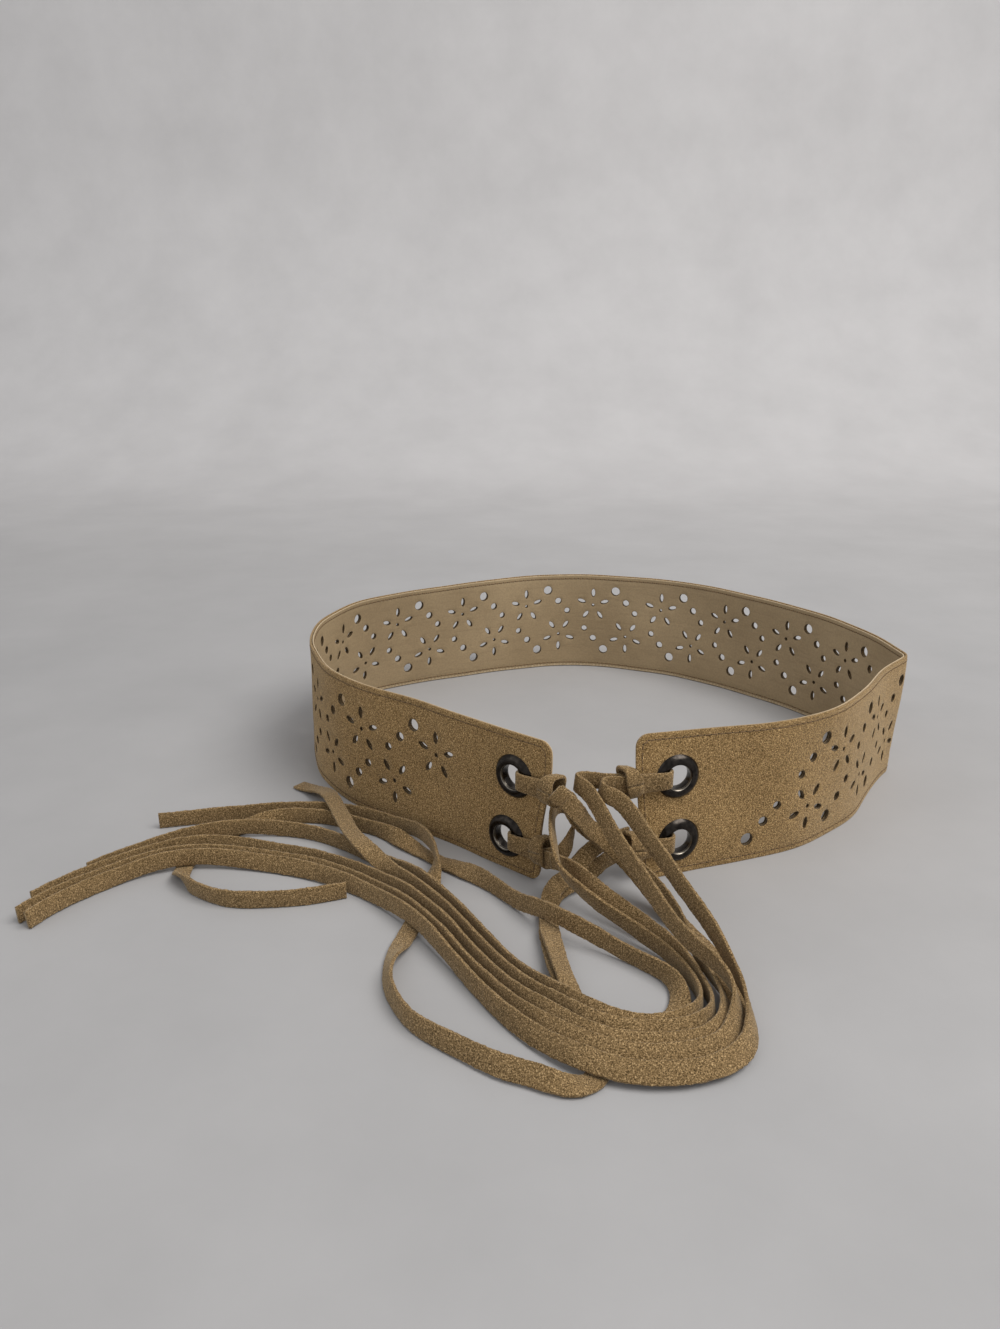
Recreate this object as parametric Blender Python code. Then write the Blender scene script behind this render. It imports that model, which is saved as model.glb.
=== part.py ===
"""A lace-up corset belt standing on its lower edge, with its laces loose on the surface.

The band is a wide strip with a pierced floral pattern: a suede outside and a thin smooth lining.
Two metal eyelets sit at each end of the band. A lace is folded in half and hitched through each
eyelet, and its two tails run down to the surface and lie there in a bundle.
Units are metres, +Z is up, and the origin is below the middle of the band's loop.
The band is laid out flat first, with s along its length from its left end and z up its height,
and then bent around the plan of the loop. Depth t goes inward from the outer suede face.
"""
import math

import bpy
import bmesh
import numpy as np
from mathutils import Vector
from mathutils.geometry import delaunay_2d_cdt

MM = 0.001

# Band
BAND_HEIGHT = 0.072
LOOP_WIDTH = 0.346
LOOP_DEPTH = 0.317
SUEDE_WALL = 0.0013
LINING_WALL = 0.0009
LAYER_GAP = 0.0003
LINING_INSET = 0.0005
END_CORNER_RADIUS = 0.006
CREASE_REACH = 0.005
LEFT_END_LEAN = 0.0055
RIGHT_END_LEAN = 0.0025
LEAN_LOW = 0.020
LEAN_HIGH = 0.062
LEFT_LEAN_FADE = (0.10, 0.24)
RIGHT_LEAN_FADE = (0.015, 0.065)

# Punched pattern
REPEAT_PITCH = 0.0522
PATTERN_START = 0.0563
PATTERN_RISE = 0.0015
PATTERN_DROP = 0.004
BLANK_RIGHT_END = 0.045
FLOWER_SHIFT = 0.0132
FLOWER_RISE = 0.0116
PETAL_RING = 0.0093
PETAL_LENGTH = 0.0062
PETAL_WIDTH = 0.0029
BIG_DOT = 0.0064
BIG_DOT_SHIFT = 0.022
BIG_DOT_RISE = 0.023

# Eyelets
EYELET_FROM_END = 0.020
EYELET_SPREAD = 0.0325
EYELET_OUTER = 0.0215
EYELET_BACK = 0.0190
EYELET_BORE = 0.0118
BARREL_WALL = 0.0007
FLANGE_RISE = 0.0019
BACK_FLANGE_RISE = 0.0012
FIT_GAP = 0.0003
EYELET_SIDES = 10

# Laces
LACE_WIDTH = 0.0085
LACE_THICKNESS = 0.0016
LACE_LIFT = 0.00015
STATION_SPACING = 0.021
STATION_TURN = math.radians(35)
LEFT_HITCH_REACH = 0.0052
RIGHT_HITCH_REACH = 0.0080
KNOT_HEIGHT = 0.0145
KNOT_THICKNESS = 0.0034

# Plan of the loop's top edge, seen from above: left end, round the back, to the crease on the right.
# Columns: share of half the loop's width, share of half its depth,
# and how far the lower edge stands out of the loop as a share of the band's height.
PLAN_TO_CREASE = [
    (-0.230, -1.000, 0.00),
    (-0.390, -0.855, 0.00),
    (-0.563, -0.692, 0.00),
    (-0.755, -0.529, 0.01),
    (-0.866, -0.389, 0.02),
    (-0.967, -0.144, 0.02),
    (-1.000, 0.090, 0.03),
    (-0.972, 0.310, 0.07),
    (-0.890, 0.515, 0.11),
    (-0.745, 0.655, 0.12),
    (-0.503, 0.822, 0.04),
    (-0.249, 0.957, 0.00),
    (0.000, 1.002, 0.00),
    (0.183, 0.967, -0.02),
    (0.425, 0.860, -0.04),
    (0.600, 0.708, -0.05),
    (0.760, 0.495, 0.00),
    (0.910, 0.222, 0.02),
    (0.977, -0.005, 0.00),
    (1.000, -0.225, -0.03),
]
PLAN_FROM_CREASE = [
    (1.000, -0.225, -0.03),
    (0.895, -0.355, -0.02),
    (0.767, -0.556, 0.01),
    (0.650, -0.705, -0.01),
    (0.480, -0.835, -0.03),
    (0.300, -0.893, 0.00),
    (0.140, -0.929, 0.06),
    (0.035, -0.957, 0.08),
]

# Routes of the eight lace tails in millimetres, chosen by hand from where each lies.
# Columns: x, y, height of the middle, lean of the width from upright towards the right of travel
# in degrees, and shift along the face's normal where two tails run face to face.
LACE_ROUTES = {
    "lace_upper_right_a": [
        (-5.5, -156.9, 49.7, 0, 0), (-9.5, -157.6, 49.9, -5, 0), (-12.4, -159.6, 49.8, -12, 0),
        (-11.8, -163, 48.9, -14, 0), (-6.2, -166.8, 47.4, -16, 0), (-0.9, -171.2, 43.7, -16, 0),
        (5, -179.5, 37.4, -14, 0), (11.6, -190, 31.2, -12, 0), (18, -202, 25.2, -10, 0),
        (24.2, -213.6, 19.9, -8, 0), (28.8, -225, 15.7, -4, 0), (32.6, -238.5, 11.2, 4, 0),
        (34.8, -251, 8, 14, 0), (34, -264, 6.3, 28, 0), (28.8, -277.4, 5.4, 45, 0),
        (13.6, -287.4, 5.1, 52, 0), (-2, -289.8, 5.2, 52, 0), (-16, -288.5, 5.4, 50, 0),
        (-29.2, -282.8, 5.9, 45, 0), (-41, -274, 4.8, 35, 0), (-53, -262, 4.6, 20, 0),
        (-64, -247, 4.6, 10, 0), (-74, -231, 5, 5, 0), (-84, -215, 6.6, 5, 0), (-94, -200, 7, 5, 0),
        (-104, -188, 6.2, 5, 0), (-116, -176, 4.7, 10, 0), (-132, -164, 4.6, 15, 0),
        (-152, -154, 4.5, 20, 0), (-174, -148, 4.7, 20, 0), (-193, -146, 6.2, 10, 0),
        (-207, -147, 6.8, 5, 0), (-221, -151, 6.2, 5, 0), (-235, -160, 4.8, 5, 0),
        (-247, -172, 4.5, 10, 0), (-257, -186, 4.5, 10, 0), (-262, -197, 4.5, 10, 0),
    ],
    "lace_upper_right_b": [
        (-5.5, -154.2, 49.7, 0, 0), (-12, -154.5, 50.3, 0, 0), (-18.5, -155, 51.2, -3, 0),
        (-23.6, -157.8, 51.6, -6, 0), (-20.5, -161.8, 50.4, -10, 0), (-14.8, -167.6, 44.6, -14, 0),
        (-8.8, -176.5, 36.2, -16, 0), (-2, -188.5, 29.4, -14, 0), (4.2, -201, 23.9, -12, 0),
        (9.6, -213.3, 19.6, -10, 0), (14.8, -224.5, 17, -6, 0), (21, -235.5, 15.8, 0, 0),
        (27, -245.5, 14.3, 10, 0), (30.2, -255.5, 10.4, 22, 0), (27.8, -265.5, 8, 38, 0),
        (21.2, -276, 6.8, 50, 0), (10.2, -280.9, 6.4, 52, 0), (-2, -282.4, 6.3, 52, 0),
        (-15, -281.3, 6.4, 52, 0), (-27.2, -276.2, 6.5, 48, 0), (-38.5, -268.5, 6.2, 40, 0),
        (-50, -257.5, 5.4, 22, 0), (-61, -243, 4.9, 10, 0), (-71, -228, 5, 5, 0),
        (-81, -212.5, 6.6, 5, 0), (-91.5, -197.5, 7, 5, 0), (-102, -184.5, 6.5, 5, 0),
        (-114, -172.5, 4.8, 10, 0), (-130, -160.5, 4.6, 15, 0), (-151, -150, 4.5, 20, 0),
        (-173.5, -144, 4.7, 20, 0), (-193, -142, 6.2, 10, 0), (-208, -143, 6.8, 5, 0),
        (-223, -147, 6.2, 5, 0), (-238, -156, 4.8, 5, 0), (-251, -168, 4.5, 5, 0),
        (-261, -181, 4.5, 5, 0), (-268, -193, 4.5, 5, 0),
    ],
    "lace_upper_left_a": [
        (-28.9, -166.3, 47.1, 0, 1.5), (-27.1, -166.2, 45.3, -5, 1.6),
        (-24.7, -165.8, 41.6, -12, 1.6), (-22, -164.8, 37.2, -20, 1.3),
        (-18, -163.2, 31.3, -30, 1.05), (-11.5, -163, 26, -30, 1.05), (-3.5, -167, 20.5, -25, 1.05),
        (5, -175, 16.2, -20, 1.05), (12.5, -186, 12.6, -15, 1.05), (18, -200, 8.9, -10, 0.6),
        (21, -214, 6, 0, 0), (23.5, -229, 5.2, 10, 0), (26.3, -243, 5.8, 20, 0),
        (27, -255, 7, 35, 0), (24, -266, 7.5, 50, 0), (14, -274.8, 7, 50, 0), (0, -277.4, 7, 50, 0),
        (-13, -276.8, 7, 50, 0), (-26.4, -271.8, 7.2, 44, 0), (-38, -262, 7, 35, 0),
        (-49, -251, 6, 20, 0), (-60, -236, 5, 10, 0), (-70, -220, 5.2, 5, 0),
        (-80, -204, 6.7, 5, 0), (-90, -190, 7, 5, 0), (-100.5, -177, 6.6, 5, 0),
        (-112, -165.5, 4.9, 10, 0), (-127, -154.5, 4.6, 10, 0), (-148, -143.5, 4.5, 10, 0),
        (-171, -136.5, 4.7, 15, 0), (-192, -133, 6.2, 10, 0), (-207, -134, 6.8, 5, 0),
        (-222, -138.5, 6.2, 5, 0), (-236, -146, 4.8, 5, 0), (-249, -157, 4.5, 5, 0),
        (-259, -169, 4.5, 5, 0), (-267, -181, 4.5, 5, 0),
    ],
    "lace_upper_left_b": [
        (-28.7, -166.3, 46.9, 0, -1.2), (-27.1, -166.2, 45.3, -5, -2),
        (-24.7, -165.8, 41.6, -12, -2.8), (-22, -164.8, 37.2, -20, -2.7),
        (-18, -163, 31.1, -30, -2), (-11.5, -163.6, 25.8, -30, -1.9), (-3.5, -167, 19.5, -35, -2),
        (4.5, -174, 13.4, -50, -1.8), (12, -183, 7.6, -72, -1.4), (19.5, -195, 3.1, -88, -0.8),
        (26.5, -211, 1.5, -90, 0), (32, -229, 1.3, -90, 0), (33.7, -250, 1.3, -90, 0),
        (28, -266, 1.2, -90, 0), (14, -276, 1.2, -90, 0), (0, -279, 1.2, -90, 0),
        (-12, -279.5, 1.2, -90, 0),
    ],
    "lace_lower_left_a": [
        (-33.2, -162.6, 16.4, 0, 0), (-29.2, -163.9, 19.4, 0, 0), (-25.4, -160.9, 26.3, 10, 0),
        (-23.4, -156.8, 30.5, 20, 0), (-24.2, -152.2, 34.4, 20, 0), (-28.3, -149.6, 36, 10, 0),
        (-32.8, -154, 35.9, 5, 0), (-34.3, -163, 32.2, 15, 0), (-33.8, -173, 27.6, 25, 0),
        (-31.5, -181, 21, 25, 0), (-25, -188.5, 16.5, 20, 0), (-16, -196, 12, 15, 0),
        (-6, -203.5, 8.5, 10, 0), (3.5, -212.5, 6, 5, 0), (11.5, -223, 4.8, 5, 0),
        (16.5, -236, 4.7, 5, 0), (18.3, -248.5, 5.5, 5, 0), (15.5, -259, 7, 12, 0),
        (8, -265.6, 7.3, 36, 0), (-2, -268, 7.3, 42, 0), (-13, -266.8, 7.7, 40, 0),
        (-24.3, -261.2, 8.4, 30, 0), (-34.7, -252, 8.4, 15, 0), (-44.5, -241, 6.2, 10, 0),
        (-54, -227.5, 4.8, 5, 0), (-62.5, -213, 5, 0, 0), (-71.5, -198.5, 6.2, 0, 0),
        (-80.5, -185, 7, 0, 0), (-90, -172, 7.8, 0, 0), (-101, -159.5, 6.8, 0, 0),
        (-113, -148, 4.5, 0, 0), (-126, -137, 4.5, 0, 0), (-140, -126, 4.5, 0, 0),
        (-155, -118, 4.5, 0, 0), (-171, -114.5, 4.8, 0, 0), (-188, -115.5, 6.2, 0, 0),
        (-204, -120.5, 6.8, 0, 0), (-219, -127, 6, 0, 0), (-233, -136, 4.6, 0, 0),
        (-244, -146, 4.5, 0, 0), (-252, -156, 4.5, 0, 0),
    ],
    "lace_lower_left_b": [
        (-34.6, -165.4, 15.4, 0, 0), (-30, -170.6, 16.8, 4, 0), (-24, -178, 17, -10, 0),
        (-17, -186, 14.5, -24, 0), (-8, -194, 10.6, -32, 0), (2, -203, 7.2, -30, 0),
        (11, -214, 5.4, -18, 0), (17.5, -228, 4.9, -5, 0), (21.3, -243, 4.8, 5, 0),
        (22, -255, 5.5, 10, 0), (18, -264, 7, 20, 0), (9.4, -269.6, 7.3, 42, 0),
        (-2, -271.5, 7.2, 46, 0), (-14, -270.1, 7.4, 44, 0), (-25.4, -265.4, 7.6, 34, 0),
        (-36, -255.5, 6.9, 20, 0), (-46.5, -245, 5.6, 15, 0), (-57.5, -230, 4.8, 10, 0),
        (-67.5, -214, 5.2, 5, 0), (-77.5, -198.5, 6.7, 5, 0), (-87.5, -184, 7, 5, 0),
        (-98, -170.5, 6.9, 5, 0), (-108.5, -160, 7, 20, 0), (-117, -151.5, 9.5, 55, 0),
        (-124, -143, 11.3, 80, 0), (-131, -131, 11, 90, 0), (-137, -117, 10.7, 90, 0),
        (-143, -102, 10.8, 90, 0), (-149, -88, 10.3, 90, 0), (-155, -76, 7, 90, 0),
        (-163, -65, 2.8, 90, 0), (-172, -57, 1.2, 90, 0),
    ],
    "lace_lower_right_a": [
        (-3.6, -155.4, 21.6, 0, 0), (-10, -158.8, 21.2, 0, 0), (-18, -162.5, 17, 25, 0),
        (-25.5, -167, 9.6, 58, 0), (-31.5, -172.5, 7.2, 68, -0.6), (-35.3, -180, 5.4, 78, -1.2),
        (-36.5, -190, 2.9, 85, -1.4), (-37, -203, 2.7, 85, -1.4), (-36, -216, 3.6, 76, -1.6),
        (-34.5, -230, 4.5, 64, -1.6), (-31.8, -243, 4.1, 70, -1.4), (-27, -253.5, 3.2, 90, -0.3),
        (-18, -260, 3.2, 90, 0), (-8, -262.5, 1.3, 90, 0), (3, -259.5, 1.2, 90, 0),
        (10.5, -250, 2.2, 75, 0), (10, -239, 4.6, 25, 0), (3, -229, 4.6, 0, 0),
        (-8, -219.5, 5, 0, 0), (-19, -211.5, 7.4, 5, 0), (-29, -205.5, 9.8, 5, 0),
        (-39, -196, 9.3, 5, 0), (-48.5, -184.5, 5.6, 5, 0), (-57, -173.5, 4.6, 10, 0),
        (-66, -162.5, 4.5, 20, 0), (-76, -152.5, 3.2, 60, 0), (-87, -142, 1.2, 90, 0),
        (-98, -132, 1.2, 90, 0), (-108, -124, 3.8, 50, 0), (-119, -116, 4.5, 5, 0),
        (-135, -107.5, 4.5, 0, 0), (-153, -101, 4.5, 0, 0), (-171, -101, 4.5, 10, 0),
        (-186, -106, 3.2, 60, 0), (-197.5, -115, 1.2, 90, 0), (-206, -128, 1.2, 90, 0),
        (-209.5, -142, 1.2, 90, 0), (-209.3, -150.5, 1.2, 90, 0), (-208.4, -156, 2.3, 70, 0),
        (-206, -161.2, 4, 38, 0), (-202, -167, 4.5, 8, 0), (-195, -172.8, 4.5, 5, 0),
        (-181, -179.5, 4.5, 0, 0), (-164, -180.5, 4.5, 0, 0), (-145, -178, 4.5, 0, 0),
        (-128, -172.5, 4.5, 0, 0),
    ],
    "lace_lower_right_b": [
        (-3.6, -155.4, 12.6, 0, 0), (-10, -159.2, 11, 0, 0), (-18, -163.8, 6.9, 34, 0),
        (-26, -168.2, 5, 60, 0.6), (-31.8, -173.2, 4.2, 70, 1), (-35.3, -180.3, 3.6, 80, 1.3),
        (-36.5, -190, 2.9, 85, 1.4), (-37, -203, 2.7, 85, 1.4), (-36, -216, 3.6, 76, 1.6),
        (-34.5, -230, 4.5, 64, 1.6), (-31.8, -243, 4.1, 70, 1.4), (-29, -256, 1.2, 90, 0),
        (-26.5, -268, 1.1, 90, 0), (-24, -278.5, 1.1, 90, 0), (-25.2, -288, 1.1, 90, 0),
        (-33, -292.6, 2.4, 76, 0), (-45, -290, 4, 45, 0), (-57, -285.5, 4.4, 35, 0),
        (-68, -279, 4.5, 25, 0), (-79, -271.5, 4.5, 15, 0), (-90, -262.5, 4.5, 10, 0),
        (-97.5, -251, 4.5, 10, 0), (-102, -238, 4.5, 20, 0), (-102, -224, 4, 45, 0),
        (-99.5, -211, 1.9, 80, 0), (-96.5, -198, 1.1, 90, 0), (-93.5, -185, 1.1, 90, 0),
        (-91.5, -173, 1.1, 90, 0), (-90, -164, 1.3, 88, 0), (-89, -155, 4.2, 50, 0),
        (-88.8, -146, 6.9, 5, 0), (-92, -134, 7.8, 0, 0), (-100, -120, 6.8, 0, 0),
        (-112, -109, 4.6, 0, 0), (-127, -100, 4.5, 0, 0), (-145, -94, 4.5, 0, 0),
        (-165, -92.5, 4.5, 0, 0), (-185, -95, 4.5, 0, 0), (-205, -99, 4.5, 0, 0),
        (-222, -103, 4.5, 0, 0), (-235, -106, 4.5, 0, 0),
    ],
}


def clear_scene():
    for old in list(bpy.data.objects):
        bpy.data.objects.remove(old, do_unlink=True)


def make_material(name, colour, roughness, metallic=0.0):
    material = bpy.data.materials.new(name)
    material.use_nodes = True
    shader = material.node_tree.nodes["Principled BSDF"]
    shader.inputs["Base Color"].default_value = (*colour, 1.0)
    shader.inputs["Roughness"].default_value = roughness
    shader.inputs["Metallic"].default_value = metallic
    return material


def make_object(name, vertices, faces, material):
    """A mesh object with its faces pointing out."""
    mesh = bpy.data.meshes.new(name)
    mesh.from_pydata([tuple(v) for v in vertices], [], faces)
    work = bmesh.new()
    work.from_mesh(mesh)
    bmesh.ops.recalc_face_normals(work, faces=work.faces[:])
    work.to_mesh(mesh)
    work.free()
    mesh.materials.append(material)
    obj = bpy.data.objects.new(name, mesh)
    bpy.context.scene.collection.objects.link(obj)
    return obj


def smooth_curve(rows, count):
    """Points along a natural cubic spline through the rows, column by column."""
    rows = np.asarray(rows, float)
    reach = np.linalg.norm(np.diff(rows[:, :2], axis=0), axis=1) ** 0.75
    knots = np.concatenate([[0.0], np.cumsum(reach)])
    size = len(knots)
    span = np.diff(knots)
    system = np.zeros((size, size))
    target = np.zeros(rows.shape)
    system[0, 0] = 1.0
    system[-1, -1] = 1.0
    for i in range(1, size - 1):
        system[i, i - 1] = span[i - 1]
        system[i, i] = 2.0 * (span[i - 1] + span[i])
        system[i, i + 1] = span[i]
        ahead = (rows[i + 1] - rows[i]) / span[i]
        behind = (rows[i] - rows[i - 1]) / span[i - 1]
        target[i] = 6.0 * (ahead - behind)
    bend = np.linalg.solve(system, target)
    at = np.linspace(0.0, knots[-1], count)
    k = np.clip(np.searchsorted(knots, at, side="right") - 1, 0, size - 2)
    h = span[k][:, None]
    left = (knots[k + 1] - at)[:, None]
    right = (at - knots[k])[:, None]
    curve = bend[k] * left ** 3 / (6 * h) + bend[k + 1] * right ** 3 / (6 * h)
    curve += (rows[k] / h - bend[k] * h / 6) * left + (rows[k + 1] / h - bend[k + 1] * h / 6) * right
    return curve


def arc_lengths(points):
    steps = np.linalg.norm(np.diff(points, axis=0), axis=1)
    return np.concatenate([[0.0], np.cumsum(steps)])


def resample(curve, columns, positions):
    """The curve's values at the given distances along its first columns."""
    along = arc_lengths(curve[:, :columns])
    return np.stack([np.interp(positions, along, curve[:, c]) for c in range(curve.shape[1])], axis=1)


class Band:
    """Bends the flat strip around the loop's plan."""

    def __init__(self):
        scale = np.array([LOOP_WIDTH / 2, LOOP_DEPTH / 2, 1.0])
        before = smooth_curve(np.array(PLAN_TO_CREASE) * scale, 4000)
        after = smooth_curve(np.array(PLAN_FROM_CREASE) * scale, 1500)
        plan = self.round_crease(before, after)
        length = arc_lengths(plan[:, :2])[-1]
        self.s = np.linspace(0.0, length, 4001)
        self.plan = resample(plan, 2, self.s)
        self.plan[:, :2] -= (self.plan[:, :2].max(axis=0) + self.plan[:, :2].min(axis=0)) / 2
        self.length = length
        heading = np.gradient(self.plan[:, :2], axis=0)
        self.heading = heading / np.linalg.norm(heading, axis=1)[:, None]

    def round_crease(self, before, after):
        """Joins the two stretches with a short curve in place of a knife-sharp corner."""
        along_before = arc_lengths(before[:, :2])
        along_after = arc_lengths(after[:, :2])
        kept_before = before[along_before <= along_before[-1] - CREASE_REACH]
        kept_after = after[along_after >= CREASE_REACH]
        self.crease = along_before[-1]
        u = np.linspace(0.0, 1.0, 40)[1:-1, None]
        turn = (1 - u) ** 2 * kept_before[-1] + 2 * u * (1 - u) * before[-1] + u ** 2 * kept_after[0]
        return np.concatenate([kept_before, turn, kept_after])

    def at(self, s, z, t):
        """The place of a point of the strip; past an end the strip goes straight on."""
        inside = min(max(s, 0.0), self.length)
        x, y, flare = (np.interp(inside, self.s, self.plan[:, c]) for c in range(3))
        hx, hy = (np.interp(inside, self.s, self.heading[:, c]) for c in range(2))
        size = math.hypot(hx, hy)
        hx, hy = hx / size, hy / size
        depth = t - flare * (BAND_HEIGHT - z)
        past = s - inside
        return Vector((x + hx * past + hy * depth, y + hy * past - hx * depth, z))


def lean_out(s, z, length):
    """How far a place near an end of the flat strip is moved along s, because the ends are cut aslant."""
    rise = min(max((z - LEAN_LOW) / (LEAN_HIGH - LEAN_LOW), 0.0), 1.0)
    rise = rise * rise * (3 - 2 * rise)
    shift = 0.0
    for distance, lean, (full, none) in ((s, -LEFT_END_LEAN, LEFT_LEAN_FADE),
                                         (length - s, RIGHT_END_LEAN, RIGHT_LEAN_FADE)):
        shift += lean * rise * min(max((none - distance) / (none - full), 0.0), 1.0)
    return shift


def pattern_middle(s, length):
    """Height that the pattern and the eyelets are set out from; it falls towards both ends."""
    return BAND_HEIGHT / 2 + PATTERN_RISE - PATTERN_DROP * (2 * s / length - 1) ** 2


def petal(centre, angle):
    """A pointed oval with its long axis along the angle."""
    outline = []
    for along, across in ((0.5, 0), (0.2, 0.5), (-0.2, 0.5), (-0.5, 0), (-0.2, -0.5), (0.2, -0.5)):
        u = PETAL_RING + along * PETAL_LENGTH
        v = across * PETAL_WIDTH
        outline.append((centre[0] + u * math.cos(angle) - v * math.sin(angle),
                        centre[1] + u * math.sin(angle) + v * math.cos(angle)))
    return outline


def round_hole(centre, diameter, sides):
    turn = 2 * math.pi / sides
    return [(centre[0] + diameter / 2 * math.cos((i + 0.5) * turn),
             centre[1] + diameter / 2 * math.sin((i + 0.5) * turn)) for i in range(sides)]


def pattern_repeats(length):
    """Middles of the pattern's repeats that fit between the two blank ends."""
    reach = BIG_DOT_SHIFT + BIG_DOT / 2
    room = length - BLANK_RIGHT_END - reach - PATTERN_START
    count = int(room / REPEAT_PITCH)
    return [PATTERN_START + REPEAT_PITCH * k for k in range(count + 1)]


def placed(s, z, length):
    return (s + lean_out(s, z, length), z)


def pattern_holes(length):
    """The upper row of flowers and the large dots; the first repeat holds a flower alone."""
    repeats = pattern_repeats(length)
    holes = []
    for k, s in enumerate(repeats):
        middle = pattern_middle(s, length)
        if k < len(repeats) - 1:
            centre = placed(s + FLOWER_SHIFT, middle + FLOWER_RISE, length)
            for arm in range(5):
                holes.append(petal(centre, math.pi / 2 + arm * 2 * math.pi / 5))
        if k > 0:
            for side in (-1, 1):
                dot = placed(s + side * BIG_DOT_SHIFT, middle - side * BIG_DOT_RISE, length)
                holes.append(round_hole(dot, BIG_DOT, 6))
    return holes


def eyelet_places(length):
    """Flat places of the four eyelets, by name."""
    places = {}
    for side, s in (("left", EYELET_FROM_END), ("right", length - EYELET_FROM_END)):
        for row, sign in (("upper", 0.5), ("lower", -0.5)):
            z = pattern_middle(s, length) + sign * EYELET_SPREAD
            places[f"{row}_{side}"] = placed(s, z, length)
    return places


def bend_lines(band):
    """Distances along the strip where its flat faces may fold."""
    lines = []
    for s in pattern_repeats(band.length):
        for step in (-0.5, -0.306, -0.135, 0.012):
            lines.append(s + step * REPEAT_PITCH)
        lines.append(s + FLOWER_SHIFT)
    last = pattern_repeats(band.length)[-1] + REPEAT_PITCH / 2
    first_hole = EYELET_FROM_END + EYELET_OUTER / 2
    lines = [s for s in lines if s > first_hole]
    lines += [last, last + (band.length - first_hole - last) / 2, band.length - first_hole]
    lines += [first_hole]
    lines += [band.crease + step * CREASE_REACH for step in (-1.0, -0.5, 0.0, 0.5, 1.0)]
    return sorted(lines)


def strip_outline(low_s, high_s, low_z, high_z, length):
    """The strip's outline with rounded corners, counterclockwise."""
    radius = END_CORNER_RADIUS
    outline = []
    corners = ((high_s - radius, low_z + radius, -90), (high_s - radius, high_z - radius, 0),
               (low_s + radius, high_z - radius, 90), (low_s + radius, low_z + radius, 180))
    for s, z, start in corners:
        for step in (0, 30, 60, 90):
            angle = math.radians(start + step)
            outline.append(placed(s + radius * math.cos(angle), z + radius * math.sin(angle), length))
    return outline


def inside(point, outline):
    """Whether a flat point lies inside a closed outline."""
    x, y = point
    found = False
    for (ax, ay), (bx, by) in zip(outline, outline[1:] + outline[:1]):
        if (ay > y) != (by > y) and x < ax + (y - ay) / (by - ay) * (bx - ax):
            found = not found
    return found


def make_layer(name, band, inset, near, far, material):
    """One layer of the strip between two depths, cut through by the holes."""
    low_z, high_z = inset, BAND_HEIGHT - inset
    outline = strip_outline(inset, band.length - inset, low_z, high_z, band.length)
    barrel_hole = EYELET_BORE + 2 * BARREL_WALL + 2 * FIT_GAP
    holes = pattern_holes(band.length)
    holes += [round_hole(place, barrel_hole, EYELET_SIDES) for place in eyelet_places(band.length).values()]
    points = []
    edges = []
    for loop in [outline] + holes:
        first = len(points)
        points += loop
        edges += [(first + i, first + (i + 1) % len(loop)) for i in range(len(loop))]
    for s in bend_lines(band):
        if inset + END_CORNER_RADIUS < s < band.length - inset - END_CORNER_RADIUS:
            points += [(s, low_z), (s, high_z)]
            edges.append((len(points) - 2, len(points) - 1))
    flat, _, triangles, *_ = delaunay_2d_cdt([Vector(p) for p in points], edges, [], 0, 1e-7)
    boxes = [(min(p[0] for p in hole), max(p[0] for p in hole), hole) for hole in holes]
    kept = []
    for face in triangles:
        middle = sum((flat[i] for i in face), Vector((0, 0))) / 3
        near_holes = [hole for low, high, hole in boxes if low < middle.x < high]
        if inside(middle, outline) and not any(inside(middle, hole) for hole in near_holes):
            kept.append(tuple(face))
    used = sorted({i for face in kept for i in face})
    number = {old: new for new, old in enumerate(used)}
    kept = [tuple(number[i] for i in face) for face in kept]
    size = len(used)
    vertices = [band.at(flat[i].x, flat[i].y, near) for i in used]
    vertices += [band.at(flat[i].x, flat[i].y, far) for i in used]
    faces = [(c, b, a) for a, b, c in kept]
    faces += [(a + size, b + size, c + size) for a, b, c in kept]
    sides = {(face[i], face[(i + 1) % 3]) for face in kept for i in range(3)}
    for a, b in sides:
        if (b, a) not in sides:
            faces.append((a, b, b + size))
            faces.append((a, b + size, a + size))
    return make_object(name, vertices, faces, material)


def make_eyelet(name, band, place, material):
    """A metal eyelet: a domed flange outside, a barrel through the band and a flat flange inside."""
    bore = EYELET_BORE / 2
    barrel = bore + BARREL_WALL
    outer = EYELET_OUTER / 2
    back = EYELET_BACK / 2
    seat = SUEDE_WALL + LAYER_GAP + LINING_WALL + FIT_GAP
    profile = [
        (bore, -0.5 * FLANGE_RISE), (barrel + 0.3 * (outer - barrel), -FIT_GAP - FLANGE_RISE),
        (barrel + 0.75 * (outer - barrel), -FIT_GAP - 0.8 * FLANGE_RISE), (outer, -FIT_GAP),
        (barrel, -FIT_GAP), (barrel, seat), (back, seat),
        (barrel + 0.3 * (back - barrel), seat + BACK_FLANGE_RISE), (bore, seat + 0.5 * BACK_FLANGE_RISE),
    ]
    sides = EYELET_SIDES
    vertices = []
    for i in range(sides):
        angle = 2 * math.pi * (i + 0.5) / sides
        for radius, t in profile:
            vertices.append(band.at(place[0] + radius * math.cos(angle),
                                    place[1] + radius * math.sin(angle), t))
    count = len(profile)
    faces = []
    for i in range(sides):
        for j in range(count):
            a = i * count + j
            b = i * count + (j + 1) % count
            c = (i + 1) % sides * count + (j + 1) % count
            d = (i + 1) % sides * count + j
            faces += [(a, b, c), (a, c, d)]
    return make_object(name, vertices, faces, material)


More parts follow.
